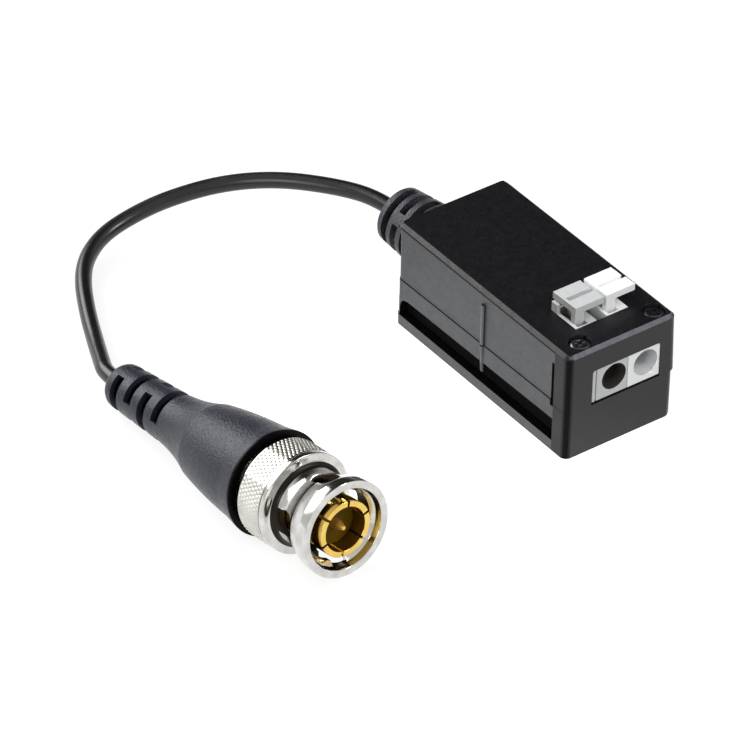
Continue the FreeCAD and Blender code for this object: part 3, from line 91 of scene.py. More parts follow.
def calculated(tree: bpy.types.NodeTree, operation: str,
               *values: bpy.types.NodeSocket | float) -> bpy.types.NodeSocket:
    """Add one arithmetic step and return its result."""
    return add_node(tree, "ShaderNodeMath", dict(enumerate(values)), operation=operation).outputs[0]


def new_object(name: str, data: bpy.types.ID) -> bpy.types.Object:
    """Link a new object with its mesh, curve, lamp or camera to the scene."""
    obj = bpy.data.objects.new(name, data)
    bpy.context.scene.collection.objects.link(obj)
    return obj


def mesh_object(name: str, shape: bmesh.types.BMesh) -> bpy.types.Object:
    """Turn a finished shape into an object of the scene, and free the shape."""
    mesh = bpy.data.meshes.new(name)
    shape.to_mesh(mesh)
    shape.free()
    return new_object(name, mesh)


def on_axis(face: bpy.types.MeshPolygon) -> tuple[float, float]:
    """Radius of a face's middle and its place along the local axis, in millimetres."""
    return math.hypot(face.center.x, face.center.y) / MM, face.center.z / MM


def skin(shape: bmesh.types.BMesh, rings: Sequence[Sequence[bmesh.types.BMVert]], ends: bool = True) -> None:
    """Join rings of points with faces, each ring to the next.

    Args:
        shape: the shape that holds the points.
        rings: rings with the same number of points each.
        ends: whether the first and the last ring get a face of their own.
    """
    for here, following in zip(rings, rings[1:]):
        for index, point in enumerate(here):
            side = (index + 1) % len(here)
            shape.faces.new((point, here[side], following[side], following[index]))
    if ends:
        shape.faces.new(rings[0])
        shape.faces.new(rings[-1])


def finish_mesh(obj: bpy.types.Object) -> bpy.types.Object:
    """Apply an object's modifiers into a plain mesh.

    Args:
        obj: the object with its modifiers.

    Returns:
        The same object, with its result as its mesh.
    """
    graph = bpy.context.evaluated_depsgraph_get()
    graph.update()
    result = bpy.data.meshes.new_from_object(obj.evaluated_get(graph))
    obj.modifiers.clear()
    obj.data = result
    return obj


def shade(obj: bpy.types.Object, angle: float) -> None:
    """Shade smooth, with edges sharper than an angle in degrees kept crisp."""
    mesh = obj.data
    mesh.polygons.foreach_set("use_smooth", [True] * len(mesh.polygons))
    mesh.set_sharp_from_angle(angle=math.radians(angle))
    mesh.update()


def filleted(corners: Sequence[tuple[float, ...]], steps: int = 4) -> Profile:
    """Round the corners of an outline.

    Args:
        corners: (radius, place) or (radius, place, fillet radius) of each corner, in order round.
        steps: straight steps in each fillet.

    Returns:
        The outline's points with the fillets in.
    """
    points: Profile = []
    count = len(corners)
    for index, corner in enumerate(corners):
        here = Vector(corner[:2])
        size = corner[2] if len(corner) > 2 else 0.0
        before = Vector(corners[index - 1][:2])
        after = Vector(corners[(index + 1) % count][:2])
        if size <= 0:
            points.append((here.x, here.y))
            continue
        way_in, way_out = (here - before).normalized(), (after - here).normalized()
        turn = way_in.angle(way_out, 0.0)
        reach = min(size * math.tan(turn / 2), (here - before).length / 2.05, (after - here).length / 2.05)
        start, end = here - way_in * reach, here + way_out * reach
        for step in range(steps + 1):
            t = step / steps
            point = start * (1 - t) ** 2 + here * 2 * t * (1 - t) + end * t ** 2
            points.append((point.x, point.y))
    return points


def lathe(name: str, outline: Profile, segments: int, first: float = 0.0,
          sweep: float = 360.0) -> bpy.types.Object:
    """Turn a closed outline about the local Z axis.

    Args:
        name: the object's name.
        outline: (radius, height) points in millimetres, in order round.
        segments: steps round the sweep.
        first: angle where the sweep starts, in degrees.
        sweep: angle that it covers, in degrees; less than a full turn gets end faces.

    Returns:
        The new object.
    """
    shape = bmesh.new()
    whole = sweep >= 360.0
    columns = segments if whole else segments + 1
    rings = []
    for column in range(columns):
        angle = math.radians(first + sweep * column / segments)
        rings.append([shape.verts.new((r * math.cos(angle) * MM, r * math.sin(angle) * MM, s * MM))
                      for r, s in outline])
    size = len(outline)
    for column in range(segments):
        here, following = rings[column], rings[(column + 1) % columns]
        for row in range(size):
            up = (row + 1) % size
            shape.faces.new((here[row], following[row], following[up], here[up]))
    if not whole:
        shape.faces.new(rings[0])
        shape.faces.new(list(reversed(rings[-1])))
    bmesh.ops.remove_doubles(shape, verts=shape.verts, dist=1e-7)
    bmesh.ops.dissolve_degenerate(shape, edges=shape.edges, dist=1e-8)
    bmesh.ops.recalc_face_normals(shape, faces=shape.faces)
    return mesh_object(name, shape)


def box_mesh(name: str, low: Sequence[float], high: Sequence[float], place: Matrix) -> bpy.types.Object:
    """Box between two corners in millimetres, put in place by a matrix."""
    shape = bmesh.new()
    bmesh.ops.create_cube(shape, size=1.0)
    centre = (Vector(low) + Vector(high)) / 2 * MM
    extent = (Vector(high) - Vector(low)) * MM
    shape.transform(place @ Matrix.Translation(centre) @ Matrix.Diagonal((*extent, 1.0)))
    return mesh_object(name, shape)


def prism(name: str, outline: Sequence[tuple[float, float]], low: float, high: float) -> bpy.types.Object:
    """Extrude a (Y, Z) outline along X between two places, all in millimetres."""
    shape = bmesh.new()
    ends = [[shape.verts.new((x * MM, y * MM, z * MM)) for y, z in outline] for x in (low, high)]
    skin(shape, ends)
    bmesh.ops.recalc_face_normals(shape, faces=shape.faces)
    return mesh_object(name, shape)


def carve(obj: bpy.types.Object, cutters: Iterable[bpy.types.Object],
          operation: str = "DIFFERENCE") -> bpy.types.Object:
    """Cut other objects out of one or join them to it, and remove them from the scene.

    Args:
        obj: the object that is changed.
        cutters: closed meshes in the same place as obj.
        operation: DIFFERENCE to cut, UNION to join.

    Returns:
        The changed object.
    """
    tools = list(cutters)
    for tool in tools:
        modifier = obj.modifiers.new("cut", "BOOLEAN")
        modifier.operation = operation
        modifier.solver = "EXACT"
        modifier.object = tool
    finish_mesh(obj)
    for tool in tools:
        bpy.data.objects.remove(tool)
    return obj


def settle(obj: bpy.types.Object, place: Matrix) -> bpy.types.Object:
    """Move a piece built about the local axis to its place, in its mesh."""
    obj.data.transform(place)
    obj.data.update()
    return obj


def merged_copy(node: str, name: str, nudge: Callable[[Vector], Vector] | None = None,
                split: float | None = None) -> bpy.types.Object:
    """Copy a CAD node with its loose triangles merged into whole faces.

    Args:
        node: the CAD node's name.
        name: the new piece's name.
        nudge: moves a corner of the mesh, given and returned in millimetres.
        split: place along Y at which whole faces are divided, in millimetres.

    Returns:
        The new piece, at the node's place.
    """
    shape = bmesh.new()
    shape.from_mesh(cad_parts[node].data)
    bmesh.ops.remove_doubles(shape, verts=shape.verts, dist=2e-6)
    if nudge:
        for vert in shape.verts:
            vert.co = nudge(vert.co / MM) * MM
    bmesh.ops.dissolve_limit(shape, angle_limit=math.radians(0.6), verts=shape.verts, edges=shape.edges)
    if split is not None:
        bmesh.ops.bisect_plane(shape, geom=[*shape.verts, *shape.edges, *shape.faces], dist=1e-6,
                               plane_co=(0.0, split * MM, 0.0), plane_no=(0.0, 1.0, 0.0))
    return mesh_object(name, shape)


def soften(obj: bpy.types.Object, edge: float, sharp: float = 35.0) -> bpy.types.Object:
    """Round a piece's edges and keep its flat faces flat to the light.

    Args:
        obj: the piece.
        edge: width of the rounded edges, in millimetres.
        sharp: least angle between two faces that gets a rounded edge, in degrees.

    Returns:
        The same piece.
    """
    obj.data.polygons.foreach_set("use_smooth", [True] * len(obj.data.polygons))
    bevel = obj.modifiers.new("edges", "BEVEL")
    bevel.width = edge * MM
    bevel.segments = 2
    bevel.limit_method = "ANGLE"
    bevel.angle_limit = math.radians(sharp)
    bevel.use_clamp_overlap = True
    bevel.miter_outer = "MITER_ARC"
    weights = obj.modifiers.new("flats", "WEIGHTED_NORMAL")
    weights.weight = 80
    return finish_mesh(obj)


def hand_over(obj: bpy.types.Object, body: str, finish: "Finish", *nodes: str) -> bpy.types.Object:
    """Give a piece its finish and body, and let it stand for its CAD nodes."""
    obj.data.materials.clear()
    obj.data.materials.append(finish.material())
    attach(obj, body)
    if nodes:
        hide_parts(*nodes)
    LOG.info("%s: %d faces", obj.name, len(obj.data.polygons) if obj.type == "MESH" else 0)
    return obj


def paint(obj: bpy.types.Object, faces: Iterable[int], finish: "Finish") -> bpy.types.Object:
    """Give some faces of a piece a second finish."""
    obj.data.materials.append(finish.material())
    for index in faces:
        obj.data.polygons[index].material_index = len(obj.data.materials) - 1
    return obj


# Finishes


@dataclass(frozen=True)
class Finish:
    """Base of the finishes: one Principled surface that reads Object coordinates."""

    name: str
    colour: str
    roughness: float
    metallic: float = 0.0
    ior: float = 1.5

    def material(self) -> bpy.types.Material:
        """Return the material, made the first time that it is asked for."""
        made = bpy.data.materials.get(self.name)
        if made:
            return made
        made = bpy.data.materials.new(self.name)
        made.use_nodes = True
        tree = made.node_tree
        tree.nodes.clear()
        surface = add_node(tree, "ShaderNodeBsdfPrincipled", {
            "Base Color": linear(self.colour),
            "Roughness": self.roughness,
            "Metallic": self.metallic,
        })
        if self.metallic < 0.5:
            surface.inputs["IOR"].default_value = self.ior
        add_node(tree, "ShaderNodeOutputMaterial", {"Surface": surface.outputs[0]})
        place = add_node(tree, "ShaderNodeTexCoord").outputs["Object"]
        self.detail(tree, surface, place)
        return made

    def detail(self, tree: bpy.types.NodeTree, surface: bpy.types.Node, place: bpy.types.NodeSocket) -> None:
        """Add the finish's own pattern to the surface; plain surfaces add none."""

    def noise(self, tree: bpy.types.NodeTree, place: bpy.types.NodeSocket, size: float,
              detail: float = 2.0) -> bpy.types.NodeSocket:
        """Noise whose lumps are about size millimetres across."""
        return add_node(tree, "ShaderNodeTexNoise", {
            "Vector": place, "Scale": 1 / (size * MM), "Detail": detail,
        }).outputs[0]

    def spread(self, tree: bpy.types.NodeTree, value: bpy.types.NodeSocket, low: float,
               high: float) -> bpy.types.NodeSocket:
        """Map a value's middle range on to low to high."""
        return add_node(tree, "ShaderNodeMapRange", {
            "Value": value, "From Min": 0.3, "From Max": 0.7, "To Min": low, "To Max": high,
        }).outputs[0]

    def raised(self, tree: bpy.types.NodeTree, surface: bpy.types.Node, height: bpy.types.NodeSocket,
               depth: float) -> None:
        """Raise a pattern on the surface by a depth in millimetres, to the light alone."""
        bump = add_node(tree, "ShaderNodeBump", {"Height": height, "Distance": depth * MM, "Strength": 1.0})
        tree.links.new(bump.outputs[0], surface.inputs["Normal"])

    def tinted(self, tree: bpy.types.NodeTree, amount: bpy.types.NodeSocket,
               other: str) -> bpy.types.NodeSocket:
        """Blend the finish's colour towards another by an amount."""
        return add_node(tree, "ShaderNodeMix", {
            "Factor": amount, "A": linear(self.colour), "B": linear(other),
        }, data_type="RGBA").outputs["Result"]


@dataclass(frozen=True)
class MouldedPlastic(Finish):
    """Injection moulded plastic: the mould's eroded grain, cloudy gloss and faint flow in the colour."""

    grain: float = 0.16
    grain_depth: float = 0.006
    cloud: float = 3.0
    cloud_roughness: float = 0.05
    second_colour: str = "#202022"

    def detail(self, tree: bpy.types.NodeTree, surface: bpy.types.Node, place: bpy.types.NodeSocket) -> None:
        """Add grain as bump, and clouds to the gloss and the colour."""
        cloud = self.noise(tree, place, self.cloud, 3.0)
        low, high = self.roughness - self.cloud_roughness, self.roughness + self.cloud_roughness
        tree.links.new(self.spread(tree, cloud, low, high), surface.inputs["Roughness"])
        amount = self.spread(tree, self.noise(tree, place, self.cloud / 4, 4.0), 0.0, 1.0)
        tree.links.new(self.tinted(tree, amount, self.second_colour), surface.inputs["Base Color"])
        self.raised(tree, surface, self.noise(tree, place, self.grain, 3.0), self.grain_depth)


@dataclass(frozen=True)
class PlatedMetal(Finish):
    """Bright plating on turned brass: tool rings round the plug's axis and light handling haze."""

    ring_pitch: float = 0.22
    ring_depth: float = 0.0012
    haze: float = 1.6
    haze_roughness: float = 0.05
    second_colour: str = "#b9b4aa"

    def detail(self, tree: bpy.types.NodeTree, surface: bpy.types.Node, place: bpy.types.NodeSocket) -> None:
        """Add the tool rings as bump, and haze to the gloss and the colour."""
        along = add_node(tree, "ShaderNodeVectorMath", {0: place, 1: PLUG.back[:]}, operation="DOT_PRODUCT")
        wobble = self.noise(tree, place, 2.0, 1.0)
        turns = calculated(tree, "MULTIPLY", along.outputs["Value"], 2 * math.pi / (self.ring_pitch * MM))
        wave = calculated(tree, "SINE", calculated(tree, "ADD", turns, wobble))
        self.raised(tree, surface, wave, self.ring_depth)
        haze = self.noise(tree, place, self.haze, 4.0)
        low, high = max(self.roughness - self.haze_roughness, 0.02), self.roughness + self.haze_roughness
        tree.links.new(self.spread(tree, haze, low, high), surface.inputs["Roughness"])
        tree.links.new(self.tinted(tree, self.spread(tree, haze, 0.0, 1.0), self.second_colour),
                       surface.inputs["Base Color"])


class Finishes(Enum):
    """The finishes of the balun's pieces."""

    CASE_ABS = MouldedPlastic("moulded_case_abs", "#0d0d11", 0.36, ior=1.4, grain=0.16, grain_depth=0.02,
                              cloud=1.0, second_colour="#18181c")
    # Eroded grain with painted light: the left panel is a lighter grey than the case, standing in for the
    # light it catches.
    PANEL_ABS = MouldedPlastic("eroded_panel_abs", "#2e3034", 0.44, grain=0.16, grain_depth=0.02,
                               cloud=1.2, second_colour="#3c3e42")
    # Painted shade: near-black with a weak reflection, for the nose corner, the lip top, the line under the
    # left chamfer, and the boot's front ring and slots.
    CORNER_ABS = MouldedPlastic("polished_corner_abs", "#060607", 0.3, ior=1.16, grain=0.3, grain_depth=0.003,
                                second_colour="#0a0a0b")
    COVE_ABS = MouldedPlastic("unlit_cove_abs", "#0f0f10", 0.8, ior=1.1, second_colour="#141415")
    # Painted half shade: a dark, dimly reflecting black for the faces beside the nose corner and for the
    # front block's left face.
    TURNING_ABS = MouldedPlastic("part_polished_corner_abs", "#0b0b0d", 0.34, ior=1.28, grain=0.2,
                                 grain_depth=0.006, second_colour="#121214")
    # Painted highlight: a lighter grey for the front chamfer of the top.
    CHAMFER_ABS = MouldedPlastic("worn_chamfer_abs", "#45454f", 0.4, ior=1.4, grain=0.12, grain_depth=0.02,
                                 second_colour="#5a5a66")
    # Painted highlight: a light grey for the seam's lower edge on the left, the left rib and the rims of the
    # screw wells.
    EDGE_ABS = MouldedPlastic("rubbed_edge_abs", "#5c5e64", 0.4, ior=1.4, grain=0.12, grain_depth=0.01,
                              second_colour="#6c6e74")
    ENTRY_GREY = MouldedPlastic("unlit_grey_entry", "#2a2826", 0.6, ior=1.25, second_colour="#34312e")
    SHADED_GREY = MouldedPlastic("unlit_grey_nylon", "#84827f", 0.6, ior=1.25, second_colour="#8d8b88")
    ENTRY_WHITE = MouldedPlastic("unlit_white_entry", "#c6c8ca", 0.5, ior=1.3, second_colour="#cdcfd1")
    TERMINAL_GREY = MouldedPlastic("moulded_grey_nylon", "#c3c5c6", 0.42, grain=0.3, grain_depth=0.004,
                                   second_colour="#cacccc")
    TERMINAL_WHITE = MouldedPlastic("moulded_white_nylon", "#f4f5f5", 0.4, grain=0.3, grain_depth=0.004,
                                    second_colour="#f7f8f8")
    BOOT_PVC = MouldedPlastic("moulded_boot_pvc", "#181b24", 0.33, ior=1.4, grain=0.3, grain_depth=0.1,
                              cloud=1.0, cloud_roughness=0.06, second_colour="#242834")
    GLAND_PVC = MouldedPlastic("eroded_gland_pvc", "#1c1d22", 0.42, grain=0.26, grain_depth=0.14,
                               cloud=0.9, cloud_roughness=0.06, second_colour="#3c3d46")
    JACKET_PVC = MouldedPlastic("extruded_jacket_pvc", "#131316", 0.27, grain=0.8, grain_depth=0.008,
                                cloud=4.0, cloud_roughness=0.04, second_colour="#171719")
    SCREW_STEEL = PlatedMetal("black_nickel_screw_steel", "#94949b", 0.24, 1.0, second_colour="#6c6c72")
    NICKEL = PlatedMetal("bright_nickel_plate", "#dbdad7", 0.12, 1.0, second_colour="#c2c0bb")
    # Painted shade: a dark nickel for the cove behind the nut's rim.
    SHADED_NICKEL = PlatedMetal("dull_nickel_in_the_cove", "#2e2c28", 0.34, 1.0, second_colour="#24221f")
    KNURLED_NICKEL = PlatedMetal("knurled_nickel_plate", "#d9d6cf", 0.42, 1.0, second_colour="#c8c5bd")
    # Painted shade: dark brown for the nut's bore, cam tracks and inner walls.
    OILED_BORE = MouldedPlastic("oiled_brown_bore", "#24170c", 0.45, grain=0.4, second_colour="#33210f")
    PIN_GOLD = PlatedMetal("worn_gold_pin", "#f0c462", 0.36, 0.75, second_colour="#dcae4a")
    GOLD = PlatedMetal("thin_gold_plate", "#f0cf74", 0.16, 1.0, second_colour="#e2bb5c")
    # Painted shade: a darker, rougher gold for the contact's inner faces.
    INNER_GOLD = PlatedMetal("dull_gold_in_the_bore", "#94731a", 0.42, 1.0, second_colour="#7d5f10")
    SPRING_STEEL = PlatedMetal("drawn_spring_steel", "#a8a8a6", 0.28, 1.0)
    TIN = PlatedMetal("dull_tin_plate", "#b9b9b5", 0.4, 1.0)
    COPPER = PlatedMetal("enamelled_copper", "#b86a3c", 0.3, 1.0, second_colour="#a8582c")
    # The insulator is coloured dark olive.
    DIELECTRIC = MouldedPlastic("translucent_olive_insulator", "#5a4606", 0.5, ior=1.25, grain=0.5,
                                grain_depth=0.002, second_colour="#684f08")
    SEAL = MouldedPlastic("dark_brown_silicone", "#1d120a", 0.55, second_colour="#25180e")
    LAMINATE = MouldedPlastic("green_board_laminate", "#1f5a30", 0.4, second_colour="#2a6a3a")
    FERRITE = MouldedPlastic("sintered_ferrite", "#2b2b2d", 0.7, second_colour="#353537")
    COMPONENT = MouldedPlastic("lacquered_component", "#27406f", 0.35, second_colour="#2d4878")

    def material(self) -> bpy.types.Material:
        """Return the finish's material."""
        return self.value.material()


# The plug's own axis


@dataclass(frozen=True)
class PlugAxis:
    """Where the plug lies: the middle of its nose, and how it is turned, in millimetres and degrees."""

    nose: tuple[float, float, float] = (-48.04, -23.6, 9.37)
    yaw: float = 2.0
    pitch: float = 7.4

    @property
    def back(self) -> Vector:
        """Way from the nose to the lead."""
        yaw, pitch = math.radians(self.yaw), math.radians(self.pitch)
        return Vector((-math.sin(yaw) * math.cos(pitch), math.cos(yaw) * math.cos(pitch), -math.sin(pitch)))

    @property
    def place(self) -> Matrix:
        """Matrix from the plug's local axes to the row's."""
        yaw = math.radians(self.yaw)
        left = Vector((-math.cos(yaw), -math.sin(yaw), 0.0))
        upward = self.back.cross(left)
        turned = Matrix((left, upward, self.back)).transposed().to_4x4()
        return Matrix.Translation(Vector(self.nose) * MM) @ turned

    def point(self, along: float) -> Vector:
        """Point on the axis, in metres, at a distance behind the nose in millimetres."""
        return (Vector(self.nose) + self.back * along) * MM


PLUG = PlugAxis()


# Slotted strain reliefs


@dataclass
class SlottedRelief:
    """Turned soft moulding whose tail is cut by alternating pairs of slots.

    The outer surface is one grid over place and angle; a slot lowers it to the core.
    """

    name: str
    outline: Profile
    inner: Profile
    stations: Sequence[float]
    slot_width: float
    core: float
    bridge: float
    first_angle: float
    fillet: float = 0.09
    columns: int = 176

    def outer_radius(self, place: float) -> float:
        """Radius of the uncut outside at a place along the axis."""
        for (r0, s0), (r1, s1) in zip(self.outline, self.outline[1:]):
            if s0 <= place <= s1:
                return r0 if s1 == s0 else r0 + (r1 - r0) * (place - s0) / (s1 - s0)
        return self.outline[-1][0]

    def opened(self, place: float, angle: float) -> float:
        """How far a point is lowered towards the core, from 0 to 1."""
        deepest = 0.0
        for index, station in enumerate(self.stations):
            turn = math.radians(self.first_angle + 90 * index)
            aside = abs(math.sin(angle - turn)) * self.core * 1.35 - self.bridge / 2
            across = self.slot_width / 2 - abs(place - station)
            inside = min(aside, across) / self.fillet
            deepest = max(deepest, min(max(inside * 0.5 + 0.5, 0.0), 1.0))
        return deepest * deepest * (3 - 2 * deepest)

    def slot_faces(self, obj: bpy.types.Object) -> list[int]:
        """Faces of the slots' floors and walls, which get no light."""
        found = []
        for index, face in enumerate(obj.data.polygons):
            radius, place = on_axis(face)
            near = min(abs(place - station) for station in self.stations)
            if near < self.slot_width / 2 and 1.5 < radius < self.outer_radius(place) - 0.22:
                found.append(index)
        return found

    def build(self) -> bpy.types.Object:
        """Build the grid and close it round the inside."""
        start, end = self.outline[0][1], self.outline[-1][1]
        places = {start, end} | {s for _, s in self.outline}
        count = int((end - start) / 0.45)
        places |= {start + (end - start) * k / count for k in range(count + 1)}
        steps = (-1.0, -0.45, 0.0, 0.45, 1.0)
        for station in self.stations:
            for side in (-1, 1):
                places |= {station + side * self.slot_width / 2 + step * self.fillet for step in steps}
            places.add(station)
        places = sorted(p for p in places if start <= p <= end)
        angles = {2 * math.pi * k / self.columns for k in range(self.columns)}
        for index in range(2):
            turn = math.radians(self.first_angle + 90 * index)
            for opposite in (0, math.pi):
                for side in (-1, 1):
                    for step in steps:
                        reach = (self.bridge / 2 + step * self.fillet) / (self.core * 1.35)
                        angles.add((turn + opposite + side * math.asin(min(reach, 1.0))) % (2 * math.pi))
        angles = sorted(angles)
        shape = bmesh.new()
        rows = []
        for place in places:
            radius = self.outer_radius(place)
            row = []
            for angle in angles:
                r = radius - max(radius - self.core, 0.0) * self.opened(place, angle)
                row.append(shape.verts.new((r * math.cos(angle) * MM, r * math.sin(angle) * MM, place * MM)))
            rows.append(row)
        for radius, place in self.inner:
            rows.append([shape.verts.new((radius * math.cos(a) * MM, radius * math.sin(a) * MM, place * MM))
                         for a in angles])
        skin(shape, rows + rows[:1], ends=False)
        bmesh.ops.remove_doubles(shape, verts=shape.verts, dist=1e-7)
        bmesh.ops.recalc_face_normals(shape, faces=shape.faces)
        obj = mesh_object(self.name, shape)
        shade(obj, 45.0)
        return obj


# The box


@dataclass
class BalunBox:
    """The moulded box with its screws, terminals, levers and strain relief."""

    edge: float = 0.14
    parting: float = 7.4
    seam: float = 0.07
    proud: float = 0.12
    draft: float = 0.4
    trim: float = 0.11
    panel_x: float = -8.54
    panel_front: float = -15.95
    panel_length: float = 34.8
    panel_bottom: float = 4.2
    panel_top: float = 15.9
    lip_x: float = -8.95
    tail_start: float = 17.75
    tail_x: float = -7.49
    tail_reach: float = 1.05
    chamfer_bottom: float = 16.0
    chamfer_top: float = 16.55
    top_x: tuple[float, float] = (-8.3, 8.0)
    top_y: float = 18.1
    small_edge: float = 0.04
    lever_edge: float = 0.05
    lever_pitch: float = 5.134
    opening_wall: float = -13.67
    leg_room: float = 0.16
    entry_x: tuple[float, float] = (-1.328, 3.918)
    entry_z: float = 10.56
    entry_reach: float = 2.3
    screw_x: tuple[float, float] = (-5.557, 6.673)
    screw_y: float = -16.51
    screw_top: float = 16.32
    gland_root: tuple[float, float, float] = (-0.04, 18.85, 8.1)
    gland_yaw: float = 6.0
    gland_pitch: float = 2.5
    gland_length: float = 11.2
    gland_root_radius: float = 5.25
    gland_end_radius: float = 4.1
    gland_stations: tuple[float, ...] = (5.3, 7.4, 9.4)

    cove: Sequence[tuple[float, float]] = (
        (-10.4, 1.64), (-7.72, 1.64), (-7.66, 1.7), (-7.66, 3.3), (-7.78, 3.8), (-8.05, 4.2), (-8.35, 4.42),
        (-8.7, 4.5), (-10.4, 4.5),
    )
    tail_wall: Sequence[tuple[float, float]] = (
        (18.15, 1.5), (18.15, 4.75), (16.4, 4.75), (16.4, 4.5), (16.9, 4.45), (17.4, 4.15), (17.72, 3.7),
        (17.9, 3.15), (17.95, 2.6), (17.95, 1.5),
    )
    inside: dict[str, Finishes] = field(default_factory=lambda: {
        "circuit_board": Finishes.LAMINATE,
        "toroid_core": Finishes.FERRITE,
        "winding_line_side": Finishes.COPPER,
        "winding_camera_side": Finishes.COPPER,
        "surge_suppressor": Finishes.COMPONENT,
        "coupling_capacitor": Finishes.COMPONENT,
        "damping_resistor": Finishes.COMPONENT,
        "contact_bar_grey": Finishes.TIN,
        "contact_bar_white": Finishes.TIN,
        "clamp_spring_grey": Finishes.SPRING_STEEL,
        "clamp_spring_white": Finishes.SPRING_STEEL,
        "gland_lead": Finishes.JACKET_PVC,
        "core_wire": Finishes.COPPER,
        "braid_wire": Finishes.TIN,
    })

    def along_gland(self) -> Vector:
        """Way that the strain relief points."""
        yaw, pitch = math.radians(self.gland_yaw), math.radians(self.gland_pitch)
        return Vector((-math.sin(yaw) * math.cos(pitch), math.cos(yaw) * math.cos(pitch), math.sin(pitch)))

    def panel_out(self, place: float) -> float:
        """How far its draft has brought the left panel out at a place along the box."""
        return self.draft * (place - self.panel_front) / self.panel_length

    def panel_share(self, corner: Vector) -> float:
        """Share of the left panel's own shift that a corner takes: all on the panel, less round the tail."""
        if corner.y < self.tail_start:
            return 1.0 if corner.x < self.panel_x + 0.1 else 0.0
        return min(max((self.tail_x - corner.x) / self.tail_reach, 0.0), 1.0)

    def drafted(self, corner: Vector) -> Vector:
        """Bring the left panel out towards the tail, as its draft does."""
        in_height = self.panel_bottom < corner.z < self.panel_top
        on_panel = self.lip_x < corner.x and in_height and corner.y > self.panel_front
        out = self.panel_out(corner.y) if on_panel else 0.0
        return corner - Vector((out * self.panel_share(corner), 0.0, 0.0))

    def open_seam(self, corner: Vector) -> Vector:
        """Lift the upper shell's lower edge along the left panel, and narrow its top chamfers."""
        corner = self.drafted(corner)
        if abs(corner.z - self.parting) < 0.02 and corner.x < self.panel_x + 0.4:
            corner += Vector((0.0, 0.0, self.seam))
        if abs(corner.z - self.chamfer_bottom) < 0.03:
            corner += Vector((0.0, 0.0, self.trim))
        if corner.z > self.chamfer_top:
            left, right = self.top_x
            aside = -self.trim if corner.x < left else self.trim if corner.x > right else 0.0
            ahead = -self.trim if corner.y < -self.top_y else self.trim if corner.y > self.top_y else 0.0
            corner += Vector((aside, ahead, 0.0))
        return corner

    def stand_proud(self, corner: Vector) -> Vector:
        """Bring the lower shell's left panel out a little."""
        on_panel = -8.6 < corner.x and corner.z > self.panel_bottom and corner.y > self.panel_front
        out = self.proud * self.panel_share(corner) if on_panel else 0.0
        return self.drafted(corner) - Vector((out, 0.0, 0.0))

    def slit(self, name: str, bottom: float, top: float) -> bpy.types.Object:
        """Cutter of the slit at the front of the left panel, between two heights."""
        low = (-10.0, self.panel_front - 0.02, bottom)
        return box_mesh(name, low, (self.panel_x + 0.45, self.panel_front + 1.2, top), Matrix())

    def shells(self) -> None:
        """Open the seam, slit and foot cove of both shells as moulded, and round their edges."""
        upper = merged_copy("upper_shell", "upper_shell_moulding", self.open_seam, self.panel_front)
        lower = merged_copy("lower_shell", "lower_shell_moulding", self.stand_proud, self.panel_front)
        carve(upper, [self.slit("slit_above", 7.0, 13.5)])
        cove = prism("foot_groove", self.cove, self.panel_front, 20.0)
        cove.data.transform(Matrix(((0, 1, 0, 0), (1, 0, 0, 0), (0, 0, 1, 0), (0, 0, 0, 1))))
        cove.data.flip_normals()
        carve(lower, [cove, self.slit("slit_below", 6.6, 7.8)])
        carve(lower, [prism("tail_wall", self.tail_wall, -9.0, -7.5)], "UNION")
        for obj, node in ((upper, "upper_shell"), (lower, "lower_shell")):
            soften(obj, self.edge)
            hand_over(obj, "balun", Finishes.CASE_ABS, node)
            self.texture_sides(obj)

    def texture_sides(self, obj: bpy.types.Object) -> None:
        """Give the faces of a shell that differ from the rest their own finishes."""
        finishes = (Finishes.PANEL_ABS, Finishes.CORNER_ABS, Finishes.TURNING_ABS, Finishes.CHAMFER_ABS,
                    Finishes.EDGE_ABS, Finishes.COVE_ABS)
        for finish in finishes:
            obj.data.materials.append(finish.material())
        for face in obj.data.polygons:
            finish = self.side_finish(face)
            if finish:
                face.material_index = finishes.index(finish) + 1

    def side_finish(self, face: bpy.types.MeshPolygon) -> Finishes | None:
        """Choose a face's finish: eroded left side with painted light, painted shade on the nose corner, lip
        top and chamfer line, painted highlights on the front chamfer and edges, unlit cove.

        Args:
            face: a face of either shell, in its place.

        Returns:
            The face's own finish, or None where it keeps the case's.
        """
        middle, out = face.center / MM, face.normal
        turning = min(-out.x, -out.y) if middle.y < -17.0 and abs(out.z) < 0.3 else 0.0
        if -8.52 < middle.x < -7.5 and 1.5 < middle.z < 4.55 and middle.y > self.panel_front - 0.1:
            return Finishes.COVE_ABS
        # Painted shade on the nose corner.
        if turning > 0.42:
            return Finishes.CORNER_ABS
        # Painted half shade beside the nose corner and on the front block's left face.
        if turning > 0.12 or out.x < -0.9 and middle.x < -9.1 and middle.y < self.panel_front:
            return Finishes.TURNING_ABS
        # Painted highlight on the front chamfer.
        if out.y < -0.5 and out.z > 0.5 and middle.z > 15.0:
            return Finishes.CHAMFER_ABS
        # Painted highlight along the lower edge of the seam on the left.
        at_seam = middle.x < self.panel_x + 0.1 and 7.0 < middle.z < self.parting + 0.1
        if out.x < -0.3 and out.z > 0.3 and at_seam:
            return Finishes.EDGE_ABS
        # Painted shade on the top of the foot's lip.
        if out.z > 0.9 and middle.x < -8.6 and middle.z < 2.2:
            return Finishes.CORNER_ABS
        # Painted highlight on the rims of the screw wells.
        if out.z > 0.15 and self.on_well_rim(middle):
            return Finishes.EDGE_ABS
        # Painted shade: a dark line under the left chamfer.
        if out.x < -0.8 and 15.75 < middle.z < 16.3 and middle.y > self.panel_front:
            return Finishes.CORNER_ABS
